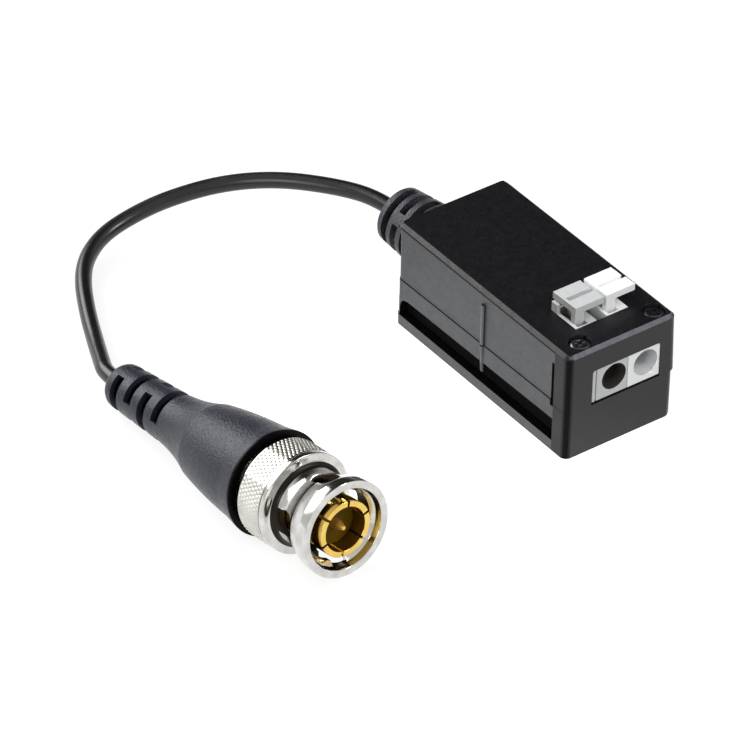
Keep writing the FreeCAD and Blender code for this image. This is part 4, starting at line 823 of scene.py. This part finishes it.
        # Painted light on the left panel, with a painted highlight on its rib.
        if out.x < -0.6 and out.z < 0.3 and middle.x < -7.9 and middle.y > self.panel_front:
            on_rib = middle.x < self.panel_x - self.panel_out(middle.y) - 0.13 and 4.6 < middle.z < 15.0
            return Finishes.EDGE_ABS if on_rib else Finishes.PANEL_ABS
        return None

    def on_well_rim(self, middle: Vector) -> bool:
        """Whether a face lies on the rim of a screw's well, which gets a painted highlight."""
        reach = min(math.hypot(middle.x - x, middle.y - self.screw_y) for x in self.screw_x)
        return middle.z > 16.1 and 1.45 < reach < 1.95

    def draw_in(self, plate: bool, corner: Vector) -> Vector:
        """Draw a front plate in a little, which leaves gaps in the window, and give the lever's leg room.

        Args:
            plate: whether the piece is the end plate.
            corner: a corner of the piece, in millimetres.

        Returns:
            The corner's new place.
        """
        if abs(corner.y - self.opening_wall) < 0.03 and corner.z > 11.0:
            return corner - Vector((0.0, self.leg_room, 0.0))
        if corner.y > -17.3:
            return corner
        lift = 0.24 if corner.z < 8.0 else 0.0
        aside = {-4.99: 0.12, -4.26: 0.0, 0.95: 0.05}.get(round(corner.x, 2), 0.0)
        if abs(corner.x + 4.26) < 0.02:
            aside = -0.1 if plate else 0.08
        return corner + Vector((aside, 0.0, lift))

    def terminals(self) -> None:
        """Round the edges of the terminal poles, the end plate and the levers."""
        white, grey = Finishes.TERMINAL_WHITE, Finishes.TERMINAL_GREY
        for node, finish in (("terminal_housing_grey", grey), ("terminal_housing_white", white),
                             ("terminal_end_plate", grey)):
            plate = node == "terminal_end_plate"
            obj = soften(merged_copy(node, f"{node}_moulding", partial(self.draw_in, plate)), self.small_edge)
            hand_over(obj, "balun", finish, node)
            if not plate:
                self.darken_bore(obj, node)
                inner = [index for index, face in enumerate(obj.data.polygons)
                         if 8.0 < face.center.z / MM < 16.42 and face.center.y / MM > -14.6]
                paint(obj, inner, Finishes.SHADED_GREY if finish is grey else Finishes.ENTRY_WHITE)
        for node, finish, shift in (("lever_grey", grey, 0.0), ("lever_white", white, self.lever_pitch)):
            obj = merged_copy(node, f"{node}_moulding")
            window = [(-12.3, 13.2), (-12.3, 18.15), (-7.9, 17.93), (-7.9, 15.5), (-10.3, 15.5),
                      (-10.3, 13.2)]
            floor = 18.3 if node == "lever_grey" else 18.97
            groove = [(-11.22, floor), (-11.22, 19.6), (-10.46, 19.6), (-10.46, floor)]
            carve(obj, [prism("under_plate", window, -4.4 + shift, -1.6 + shift),
                        prism("groove", groove, -3.3 + shift, 0.35 + shift)])
            hand_over(soften(obj, self.lever_edge), f"{node}_body", finish, node)
            if finish is grey:
                under = [index for index, face in enumerate(obj.data.polygons) if face.center.z / MM < 15.4]
                paint(obj, under, Finishes.SHADED_GREY)

    def darken_bore(self, obj: bpy.types.Object, node: str) -> None:
        """Give a pole's wire entry, past its lip, the colour of its unlit inside."""
        grey = node == "terminal_housing_grey"
        centre = self.entry_x[0 if grey else 1]
        obj.data.materials.append((Finishes.ENTRY_GREY if grey else Finishes.ENTRY_WHITE).material())
        for face in obj.data.polygons:
            middle = face.center / MM
            reach = math.hypot(middle.x - centre, middle.z - self.entry_z)
            if reach < self.entry_reach and middle.y < -12.0 and face.normal.y > -0.93:
                face.material_index = 1

    def screws(self) -> None:
        """Turn one domed screw with its cross recess, and set it in both wells."""
        head = [(0.0, 0.0), (0.75, 0.0), (1.1, -0.06), (1.34, -0.2), (1.5, -0.42), (1.54, -0.62),
                (1.54, -0.75), (0.7, -0.75), (0.7, -12.75), (0.0, -12.75)]
        screw = lathe("screw", head, 48)
        slots = []
        for turn in (20.0, 110.0):
            slots.append(box_mesh(f"recess_{turn:.0f}", (-0.95, -0.17, -0.5), (0.95, 0.17, 1.0),
                                  Matrix.Rotation(math.radians(turn), 4, "Z")))
        carve(screw, slots)
        soften(screw, 0.06, 25.0)
        places = bpy.data.meshes.new("screw_places")
        places.from_pydata([(x * MM, self.screw_y * MM, self.screw_top * MM) for x in self.screw_x], [], [])
        obj = new_object("case_screw_pair", places)
        modifier = obj.modifiers.new("screws", "NODES")
        modifier.node_group = copies_tree("screws_in_wells", Finishes.SCREW_STEEL)
        set_input(modifier, "Piece", screw)
        finish_mesh(obj)
        bpy.data.objects.remove(screw)
        hand_over(obj, "balun", Finishes.SCREW_STEEL, "case_screws")

    def gland(self) -> bpy.types.Object:
        """Build the slotted strain relief on the box."""
        root, tip, length = self.gland_root_radius, self.gland_end_radius, self.gland_length
        slope = (root - tip) / length
        outline = [(root, 0.0), (tip + slope * 0.8, length - 0.8), (tip + 0.02, length - 0.45),
                   (tip - 0.2, length - 0.18), (tip - 0.55, length)]
        inner = [(1.18, length), (1.18, 0.0)]
        relief = SlottedRelief("lead_strain_relief", outline, inner, self.gland_stations, slot_width=1.0,
                               core=2.0, bridge=1.3, first_angle=128.0)
        obj = relief.build()
        slots = relief.slot_faces(obj)
        along = self.along_gland()
        side = Vector((math.cos(math.radians(self.gland_yaw)), math.sin(math.radians(self.gland_yaw)), 0.0))
        turned = Matrix((side, along.cross(side), along)).transposed().to_4x4()
        sunk = Vector(self.gland_root) - along * 0.6
        settle(obj, Matrix.Translation(sunk * MM) @ turned)
        hand_over(obj, "balun", Finishes.GLAND_PVC, "cable_gland")
        return paint(obj, slots, Finishes.COVE_ABS)

    def build(self) -> None:
        """Build the box and give every inner node its finish."""
        self.shells()
        self.terminals()
        self.screws()
        for node, finish in self.inside.items():
            dress(node, finish)


def set_input(modifier: bpy.types.Modifier, name: str, value: object) -> None:
    """Set a Geometry Nodes modifier's input by its socket's identifier."""
    sockets = modifier.node_group.interface.items_tree
    socket = next(s for s in sockets if s.name == name and s.in_out == "INPUT")
    modifier[socket.identifier] = value


def begin_growth(name: str, finish: Finishes, inputs: dict[str, float | None]) -> tuple[
        bpy.types.NodeTree, bpy.types.bpy_prop_collection]:
    """Begin a Geometry Nodes tree with its sockets.

    Args:
        name: the tree's name.
        finish: the finish of what the tree makes.
        inputs: the value of each input by its name, or None where it takes an object.

    Returns:
        The tree, and the outputs of its input node.
    """
    tree = bpy.data.node_groups.new(name, "GeometryNodeTree")
    face = tree.interface
    face.new_socket("Geometry", in_out="INPUT", socket_type="NodeSocketGeometry")
    for label, value in inputs.items():
        kind = "NodeSocketObject" if value is None else "NodeSocketFloat"
        socket = face.new_socket(label, in_out="INPUT", socket_type=kind)
        if value is not None:
            socket.default_value = value
    material = face.new_socket("Material", in_out="INPUT", socket_type="NodeSocketMaterial")
    material.default_value = finish.material()
    face.new_socket("Geometry", in_out="OUTPUT", socket_type="NodeSocketGeometry")
    return tree, add_node(tree, "NodeGroupInput").outputs


def end_growth(tree: bpy.types.NodeTree, given: bpy.types.bpy_prop_collection,
               geometry: bpy.types.NodeSocket) -> bpy.types.NodeTree:
    """Close a tree: make its geometry real, give it the Material input and hand it out.

    Args:
        tree: the tree that begin_growth began.
        given: the outputs of its input node.
        geometry: what the tree made.

    Returns:
        The tree.
    """
    whole = add_node(tree, "GeometryNodeRealizeInstances", {0: geometry})
    painted = add_node(tree, "GeometryNodeSetMaterial", {"Geometry": whole.outputs[0],
                                                         "Material": given["Material"]})
    add_node(tree, "NodeGroupOutput", {0: painted.outputs[0]})
    return tree


def copies_tree(name: str, finish: Finishes) -> bpy.types.NodeTree:
    """Build the Geometry Nodes tree that sets a copy of one piece at every point.

    Args:
        name: the tree's name.
        finish: the finish of the copies.

    Returns:
        The tree, with inputs Piece and Material.
    """
    tree, given = begin_growth(name, finish, {"Piece": None})
    piece = add_node(tree, "GeometryNodeObjectInfo", {"Object": given["Piece"]})
    points = add_node(tree, "GeometryNodeMeshToPoints", {"Mesh": given["Geometry"]})
    copies = add_node(tree, "GeometryNodeInstanceOnPoints", {"Points": points.outputs[0],
                                                             "Instance": piece.outputs["Geometry"]})
    return end_growth(tree, given, copies.outputs[0])


def dress(node: str, finish: Finishes) -> None:
    """Give a CAD node that stays as it is its finish."""
    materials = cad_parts[node].data.materials
    materials.clear()
    materials.append(finish.material())


# The lead


@dataclass
class Lead:
    """The free stretch of the lead, from the strain relief to the boot."""

    diameter: float = 2.35
    first_run: float = 3.6
    last_run: float = 3.9
    route: tuple[tuple[float, float, float], ...] = (
        (-3.94, 39.5, 8.15),
        (-8.74, 46.9, 7.1),
        (-14.54, 52.1, 5.7),
        (-21.44, 54.9, 4.3),
        (-26.84, 55.8, 3.15),
        (-32.24, 55.3, 2.3),
        (-36.64, 52.8, 1.75),
        (-39.94, 48.9, 1.45),
        (-43.44, 42.3, 1.3),
        (-46.04, 36.6, 1.4),
        (-48.34, 31.7, 2.1),
    )
    length: float = 82.1

    def build(self, box: BalunBox, plug_end: Vector, with_pieces: list[bpy.types.Object]) -> bpy.types.Object:
        """Args:
            box: the box whose strain relief it leaves.
            plug_end: point where it enters the boot, in metres.
            with_pieces: the strain relief and the plug's pieces; not used.

        Returns:
            The lead.
        """
        along = box.along_gland()
        start = Vector(box.gland_root) * MM + along * box.gland_length * MM
        points = [start, start + along * self.first_run * MM]
        points += [Vector(point) * MM for point in self.route]
        points += [plug_end + PLUG.back * self.last_run * MM, plug_end]
        curve = bpy.data.curves.new("lead", "CURVE")
        curve.dimensions = "3D"
        spline = curve.splines.new("NURBS")
        spline.points.add(len(points) - 1)
        for control, point in zip(spline.points, points):
            control.co = (*point, 1.0)
        spline.order_u = 3
        spline.use_endpoint_u = True
        curve.resolution_u = 16
        curve.bevel_depth = self.diameter / 2 * MM
        curve.bevel_resolution = 7
        curve.use_fill_caps = True
        obj = new_object("lead", curve)
        obj.data.materials.append(Finishes.JACKET_PVC.material())
        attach(obj, "balun")
        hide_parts("cable")
        return obj


# The plug


@dataclass
class BayonetPlug:
    """The plug: boot, coupling nut with its grip, gold contacts and insulator, in millimetres."""

    boot_front: float = 15.0
    boot_end: float = 48.5
    boot_stations: tuple[float, ...] = (36.7, 39.9, 43.1, 46.3)
    knurl_start: float = 9.4
    knurl_end: float = 13.75
    knurl_radius: float = 7.1
    knurl_depth: float = 0.19
    knurl_count: int = 72
    knurl_lead: float = 1.07
    knurl_fade: float = 0.25
    knurl_root: float = 6.85
    cam_turn: float = 87.0
    cam_start: float = 3.1
    cam_rise: float = 2.1
    cam_half_width: float = 1.05
    slit_width: float = 0.35
    slit_radius: float = 3.5
    slits: int = 6
    slit_angle: float = 43.0

    def boot(self) -> bpy.types.Object:
        """Build the boot: tapering grip, waist and slotted tail."""
        outline: Profile = [(6.5, self.boot_front), (7.3, self.boot_front), (7.46, self.boot_front + 0.12),
                            (7.44, self.boot_front + 0.35), (6.97, 18.0)]
        for step in range(1, 9):
            s = 18.0 + 10.5 * step / 8
            outline.append((6.95 - 1.45 * step / 8 + 0.19 * 4 * (step / 8) * (1 - step / 8), s))
        for step in range(1, 9):
            s = 28.5 + 9.4 * step / 8
            outline.append((5.5 - 1.9 * step / 8 - 0.43 * 4 * (step / 8) * (1 - step / 8), s))
        tail = self.boot_end + 0.4
        outline += [(3.35, 44.0), (3.2, tail - 1.1), (3.12, tail - 0.7), (2.9, tail - 0.3), (2.4, tail)]
        inner = [(1.2, tail), (1.2, 27.0), (5.0, 20.0), (6.4, 16.2)]
        relief = SlottedRelief("plug_boot_moulding", outline, inner, self.boot_stations, slot_width=1.4,
                               core=1.9, bridge=2.0, first_angle=-6.0)
        obj = relief.build()
        # Painted shade on the boot's front ring and in its slots.
        ring = [index for index, face in enumerate(obj.data.polygons)
                if face.center.z / MM < self.boot_front + 0.5]
        ring += relief.slot_faces(obj)
        hand_over(settle(obj, PLUG.place), "balun", Finishes.BOOT_PVC, "plug_boot")
        return paint(obj, ring, Finishes.CORNER_ABS)

    def nut_outline(self) -> Profile:
        """Outline of the coupling nut: lip, flare, waist, rim, groove, grip seat, bore and cavity."""
        flare = []
        for step in range(7):
            t = step / 6
            s = 3.5 + 2.6 * t
            flare.append((6.2 - 0.9 * t - 0.146 * 4 * t * (1 - t), s))
        cove = []
        for step in range(1, 7):
            t = step / 6
            angle = math.pi / 2 * t
            cove.append((5.3 + 1.3 * (1 - math.cos(angle)), 7.3 + 1.0 * math.sin(angle)))
        return filleted([
            (5.7, 0.0, 0.12), (6.75, 0.0, 0.1), (6.75, 1.5, 0.6), *flare, *cove,
            (7.05, 8.4, 0.12), (7.05, 9.15, 0.08), (6.8, 9.15), (6.8, 9.4), (6.95, 9.4), (6.95, 13.7, 0.1),
            (6.75, 14.1, 0.1), (4.43, 14.1, 0.05), (4.43, 13.2), (6.2, 13.2), (6.2, 9.0), (4.9, 9.0),
            (4.9, 1.5, 0.1), (5.5, 1.0, 0.2),
        ], 3)

    def radial_cutter(self, name: str, radius: float, along: tuple[float, float],
                      angle: float) -> bpy.types.Object:
        """Round-ended cutter that points outwards, widens a little and is long between two places."""
        flare = 1.28
        shape = bmesh.new()
        steps = 24
        outline = []
        for step in range(steps):
            turn = 2 * math.pi * step / steps
            shift = along[1] if math.cos(turn) > 0 else along[0]
            outline.append((radius * math.sin(turn), shift + radius * math.cos(turn)))
        middle = sum(along) / 2
        low = [shape.verts.new((4.2 * MM, y * MM, z * MM)) for y, z in outline]
        high = [shape.verts.new((8.5 * MM, y * flare * MM, (middle + (z - middle) * flare) * MM))
                for y, z in outline]
        skin(shape, (low, high))
        bmesh.ops.recalc_face_normals(shape, faces=shape.faces)
        shape.transform(Matrix.Rotation(math.radians(angle), 4, "Z"))
        return mesh_object(name, shape)

    def cam_cutter(self, name: str, angle: float) -> bpy.types.Object:
        """Cutter of one cam track: from its entry slot along a rising turn to the lock hole."""
        shape = bmesh.new()
        steps = 24
        rings = []
        for step in range(steps + 1):
            t = step / steps
            turn = math.radians(angle + self.cam_turn * t)
            middle = self.cam_start + self.cam_rise * t
            ring = []
            half = self.cam_half_width
            for radius, rise in ((4.5, -half), (5.6, -half), (5.6, half), (4.5, half)):
                ring.append(shape.verts.new((radius * math.cos(turn) * MM, radius * math.sin(turn) * MM,
                                             (middle + rise) * MM)))
            rings.append(ring)
        skin(shape, rings)
        bmesh.ops.recalc_face_normals(shape, faces=shape.faces)
        return mesh_object(name, shape)

    def nut(self) -> bpy.types.Object:
        """Build the coupling nut and cut its entry slots, cam tracks and lock holes."""
        obj = lathe("coupling_nut_turning", self.nut_outline(), 160)
        cutters = []
        for half in (0, 180):
            cutters.append(self.radial_cutter(f"lock_{half}", 1.8, (5.5, 5.9), 4.0 + half))
            cutters.append(self.radial_cutter(f"start_{half}", 1.3, (3.25, 4.45), 91.0 + half))
            cutters.append(self.cam_cutter(f"cam_{half}", 97.0 + half))
            cutters.append(box_mesh(f"entry_{half}", (3.0, -1.15, -1.0), (5.6, 1.15, 4.15),
                                    Matrix.Rotation(math.radians(97.0 + half), 4, "Z")))
        carve(obj, cutters)
        shade(obj, 32.0)
        places = [on_axis(face) for face in obj.data.polygons]
        outward = [face.normal.x * face.center.x + face.normal.y * face.center.y
                   for face in obj.data.polygons]
        # Painted shade in the cove behind the rim.
        cove = [index for index, (radius, along) in enumerate(places)
                if 7.05 < along < 8.2 and 5.25 < radius < 6.4]
        # Painted shade on the faces inside the nut.
        bore = [index for index, (radius, along) in enumerate(places)
                if 2.2 < along < 8.9 and radius < 6.1 and outward[index] < 0.35 * radius * MM]
        settle(obj, PLUG.place)
        hand_over(obj, "coupling_ring", Finishes.NICKEL, "coupling_nut")
        paint(obj, cove, Finishes.SHADED_NICKEL)
        return paint(obj, bore, Finishes.OILED_BORE)

    def knurl_tree(self) -> bpy.types.NodeTree:
        """Build the Geometry Nodes tree that raises crossed helical ridges on a turned band."""
        tree, given = begin_growth("knurled_grip", Finishes.KNURLED_NICKEL, {
            "Ridges": float(self.knurl_count), "Lead": self.knurl_lead * MM, "Depth": self.knurl_depth * MM,
            "Start": self.knurl_start * MM, "End": self.knurl_end * MM,
        })
        math_node = partial(calculated, tree)
        position = add_node(tree, "GeometryNodeInputPosition").outputs[0]
        place = add_node(tree, "ShaderNodeSeparateXYZ", {0: position})
        x, y, s = place.outputs
        round_way = math_node("MULTIPLY", math_node("DIVIDE", math_node("ARCTAN2", y, x), 2 * math.pi),
                              given["Ridges"])
        along = math_node("DIVIDE", s, given["Lead"])
        ridges = []
        for operation in ("ADD", "SUBTRACT"):
            phase = math_node(operation, round_way, along)
            ridges.append(math_node("MULTIPLY", math_node("PINGPONG", phase, 0.5), 2.0))
        height = math_node("MINIMUM", *ridges)
        past_start = math_node("SUBTRACT", s, given["Start"])
        ends = math_node("MINIMUM", past_start, math_node("SUBTRACT", given["End"], s))
        rising = math_node("MAXIMUM", math_node("DIVIDE", ends, self.knurl_fade * MM), 0.0)
        faded = math_node("MINIMUM", rising, 1.0)
        radius = math_node("SQRT", math_node("ADD", math_node("MULTIPLY", x, x), math_node("MULTIPLY", y, y)))
        outside = math_node("GREATER_THAN", radius, self.knurl_root * MM)
        lowered = math_node("MULTIPLY", math_node("SUBTRACT", math_node("MULTIPLY", height, faded), 1.0),
                            given["Depth"])
        share = math_node("DIVIDE", math_node("MULTIPLY", lowered, outside), radius)
        offset = add_node(tree, "ShaderNodeCombineXYZ", {0: math_node("MULTIPLY", x, share),
                                                         1: math_node("MULTIPLY", y, share)})
        moved = add_node(tree, "GeometryNodeSetPosition", {"Geometry": given["Geometry"],
                                                           "Offset": offset.outputs[0]})
        return end_growth(tree, given, moved.outputs[0])

    def grip(self) -> bpy.types.Object:
        """Build the knurled grip band of the nut."""
        rows = 40
        start, end, radius = self.knurl_start, self.knurl_end, self.knurl_radius
        outline: Profile = [(6.6, start)]
        outline += [(radius, start + (end - start) * row / rows) for row in range(rows + 1)]
        outline += [(6.6, end)]
        obj = lathe("coupling_nut_grip", outline, self.knurl_count * 8)
        modifier = obj.modifiers.new("knurl", "NODES")
        modifier.node_group = self.knurl_tree()
        finish_mesh(obj)
        shade(obj, 75.0)
        settle(obj, PLUG.place)
        return hand_over(obj, "coupling_ring", Finishes.KNURLED_NICKEL)

    def outer_contact(self) -> bpy.types.Object:
        """Build the slit outer contact: six fingers that grow out of one ring."""
        finger = filleted([(3.12, 0.1, 0.12), (3.93, 0.1, 0.12), (3.93, 6.1), (3.12, 6.1)], 4)
        ring = filleted([(3.1, 6.0), (3.94, 6.0), (3.94, 8.4), (4.55, 8.4), (4.55, 9.0), (3.94, 9.0),
                         (3.94, 12.0), (3.1, 12.0)], 2)
        gap = math.degrees(self.slit_width / self.slit_radius)
        step = 360 / self.slits
        parts = [lathe(f"finger_{index}", finger, 26, self.slit_angle + step * index + gap / 2, step - gap)
                 for index in range(self.slits)]
        parts.append(lathe("outer_contact_ring", ring, 156))
        shape = bmesh.new()
        for part in parts:
            shape.from_mesh(part.data)
            bpy.data.objects.remove(part)
        obj = mesh_object("outer_contact_turning", shape)
        shade(obj, 40.0)
        # Painted shade on the contact's inner faces.
        inner = [index for index, face in enumerate(obj.data.polygons)
                 if on_axis(face)[0] < 3.18 and on_axis(face)[1] > 0.35]
        settle(obj, PLUG.place)
        hand_over(obj, "balun", Finishes.GOLD, "outer_contact")
        return paint(obj, inner, Finishes.INNER_GOLD)

    def small_turnings(self) -> list[bpy.types.Object]:
        """Build the centre pin and the insulator."""
        pin = lathe("centre_pin_turning", filleted([(0.0, 0.4), (0.26, 0.4, 0.2), (0.6, 1.35, 0.25),
                                                    (0.68, 1.7), (0.68, 13.4), (0.0, 13.4)], 5), 48)
        insulator = lathe("insulator_moulding", filleted([(0.69, 2.5), (3.09, 2.5, 0.1), (3.09, 12.0),
                                                          (0.69, 12.0)], 3), 96)
        made = []
        for obj, finish, node in ((pin, Finishes.PIN_GOLD, "centre_pin"),
                                  (insulator, Finishes.DIELECTRIC, "insulator")):
            shade(obj, 40.0)
            settle(obj, PLUG.place)
            made.append(hand_over(obj, "balun", finish, node))
        return made

    def build(self) -> list[bpy.types.Object]:
        """Build the plug.

        Returns:
            Every piece of it that is shown.
        """
        made = [self.boot(), self.nut(), self.grip(), self.outer_contact(), *self.small_turnings()]
        for node, finish in (("plug_body", Finishes.NICKEL), ("crimp_ferrule", Finishes.NICKEL),
                             ("thrust_washer", Finishes.NICKEL), ("wave_washer", Finishes.SPRING_STEEL),
                             ("gasket", Finishes.SEAL), ("plug_lead", Finishes.JACKET_PVC)):
            dress(node, finish)
            made.append(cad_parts[node])
        return made


# Studio


@dataclass(frozen=True)
class Softbox:
    """Rectangular lamp: where it stands as seen from the object, and its size and power."""

    name: str
    way: tuple[float, float, float]
    distance: float
    width: float
    height: float
    power: float


@dataclass
class Studio:
    """White table, dim ceiling, soft lamps and the camera of the photograph."""

    eye: tuple[float, float, float] = (-378.91, -471.75, 455.62)
    right: tuple[float, float, float] = (0.80844, -0.58834, 0.01675)
    upward: tuple[float, float, float] = (0.34436, 0.49588, 0.7972)
    back: tuple[float, float, float] = (-0.47733, -0.63872, 0.60349)
    lens: float = 270.71
    aim: tuple[float, float, float] = (-20.0, 15.0, 5.0)
    dim_way: tuple[float, float, float] = (0.477, 0.639, 0.603)
    dim_edge: tuple[float, float] = (0.6, 0.94)
    room_light: tuple[float, float] = (0.72, 0.03)
    card: tuple[float, float, float] = (-16.0, 0.0, 0.0)
    card_reach: tuple[float, float] = (18.0, 36.0)
    card_glow: tuple[float, float] = (1.3, 0.8)
    softboxes: tuple[Softbox, ...] = (
        Softbox("key_softbox", (-0.3, 0.8, 0.52), 0.7, 0.6, 0.4, 4.4),
        Softbox("front_softbox", (0.48, -0.6, 0.64), 0.7, 0.2, 0.2, 1.4),
        Softbox("side_softbox", (-0.9, -0.25, 0.45), 0.8, 0.4, 0.4, 1.6),
    )

    def camera(self) -> None:
        """Set up the camera that was fitted to the photograph."""
        data = bpy.data.cameras.new("camera")
        data.lens = self.lens
        data.sensor_width = 36.0
        data.clip_start, data.clip_end = 0.05, 20.0
        obj = new_object("camera", data)
        turned = Matrix((self.right, self.upward, self.back)).transposed().to_4x4()
        obj.matrix_world = Matrix.Translation(Vector(self.eye) * MM) @ turned
        bpy.context.scene.camera = obj

    def lamps(self) -> None:
        """Hang the softboxes round the object."""
        centre = Vector(self.aim) * MM
        for box in self.softboxes:
            data = bpy.data.lights.new(box.name, "AREA")
            data.shape = "RECTANGLE"
            data.size, data.size_y = box.width, box.height
            data.energy = box.power
            obj = new_object(box.name, data)
            way = Vector(box.way).normalized()
            obj.location = centre + way * box.distance
            obj.rotation_mode = "QUATERNION"
            obj.rotation_quaternion = way.to_track_quat("Z", "Y")

    def eased(self, tree: bpy.types.NodeTree, value: bpy.types.NodeSocket, reach: tuple[float, float],
              strength: tuple[float, float]) -> bpy.types.NodeSocket:
        """Let a strength change smoothly while a value crosses a reach."""
        return add_node(tree, "ShaderNodeMapRange", {
            "Value": value, "From Min": reach[0], "From Max": reach[1],
            "To Min": strength[0], "To Max": strength[1],
        }, interpolation_type="SMOOTHSTEP").outputs[0]

    def table(self) -> None:
        """Lay the white table, with a bright card beside the box; it keeps the object's shadow."""
        shape = bmesh.new()
        bmesh.ops.create_grid(shape, x_segments=8, y_segments=8, size=3.0)
        obj = mesh_object("table", shape)
        made = bpy.data.materials.new("white_table")
        made.use_nodes = True
        tree = made.node_tree
        tree.nodes.clear()
        rays = add_node(tree, "ShaderNodeLightPath").outputs
        seen = calculated(tree, "MAXIMUM", rays["Is Camera Ray"], rays["Is Glossy Ray"])
        seen = calculated(tree, "MAXIMUM", seen, rays["Is Transmission Ray"])
        matt = add_node(tree, "ShaderNodeBsdfDiffuse", {"Color": linear("#8f8f8f")})
        shaded = add_node(tree, "ShaderNodeBsdfDiffuse", {"Color": linear("#8c8c8c")})
        place = add_node(tree, "ShaderNodeTexCoord").outputs["Object"]
        away = add_node(tree, "ShaderNodeVectorMath", {0: place, 1: Vector(self.card) * MM},
                        operation="DISTANCE")
        near, far = self.card_reach
        card = self.eased(tree, away.outputs["Value"], (near * MM, far * MM), self.card_glow)
        white = add_node(tree, "ShaderNodeEmission", {"Color": (1, 1, 1, 1), "Strength": card})
        lit = add_node(tree, "ShaderNodeAddShader", {0: shaded.outputs[0], 1: white.outputs[0]})
        mixed = add_node(tree, "ShaderNodeMixShader", {0: seen, 1: matt.outputs[0], 2: lit.outputs[0]})
        add_node(tree, "ShaderNodeOutputMaterial", {"Surface": mixed.outputs[0]})
        obj.data.materials.append(made)

    def surroundings(self) -> None:
        """Make the room: white to the camera, and for the light pale all round but dim behind and above."""
        world = bpy.data.worlds.new("studio")
        bpy.context.scene.world = world
        world.use_nodes = True
        tree = world.node_tree
        tree.nodes.clear()
        rays = add_node(tree, "ShaderNodeLightPath").outputs
        way = add_node(tree, "ShaderNodeTexCoord").outputs["Generated"]
        behind = add_node(tree, "ShaderNodeVectorMath", {0: way, 1: self.dim_way}, operation="DOT_PRODUCT")
        fall = self.eased(tree, behind.outputs["Value"], self.dim_edge, self.room_light)
        room = add_node(tree, "ShaderNodeBackground", {"Color": (1, 1, 1, 1), "Strength": fall})
        white = add_node(tree, "ShaderNodeBackground", {"Color": (1, 1, 1, 1), "Strength": 1.0})
        mixed = add_node(tree, "ShaderNodeMixShader", {0: rays["Is Camera Ray"], 1: room.outputs[0],
                                                       2: white.outputs[0]})
        add_node(tree, "ShaderNodeOutputWorld", {"Surface": mixed.outputs[0]})

    def build(self) -> None:
        """Build the whole studio."""
        bpy.context.scene.view_settings.view_transform = "Standard"
        self.camera()
        self.lamps()
        self.table()
        self.surroundings()


def main() -> None:
    """Build the studio, the box, the plug and the lead, and log each piece's face count."""
    logging.basicConfig(level=logging.INFO, format="%(name)s: %(message)s")
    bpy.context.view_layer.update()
    Studio().build()
    box = BalunBox()
    box.build()
    relief = box.gland()
    plug = BayonetPlug()
    on_lead = [relief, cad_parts["gland_lead"], *plug.build()]
    Lead().build(box, PLUG.point(plug.boot_end), on_lead)


if __name__ == "__main__":
    main()
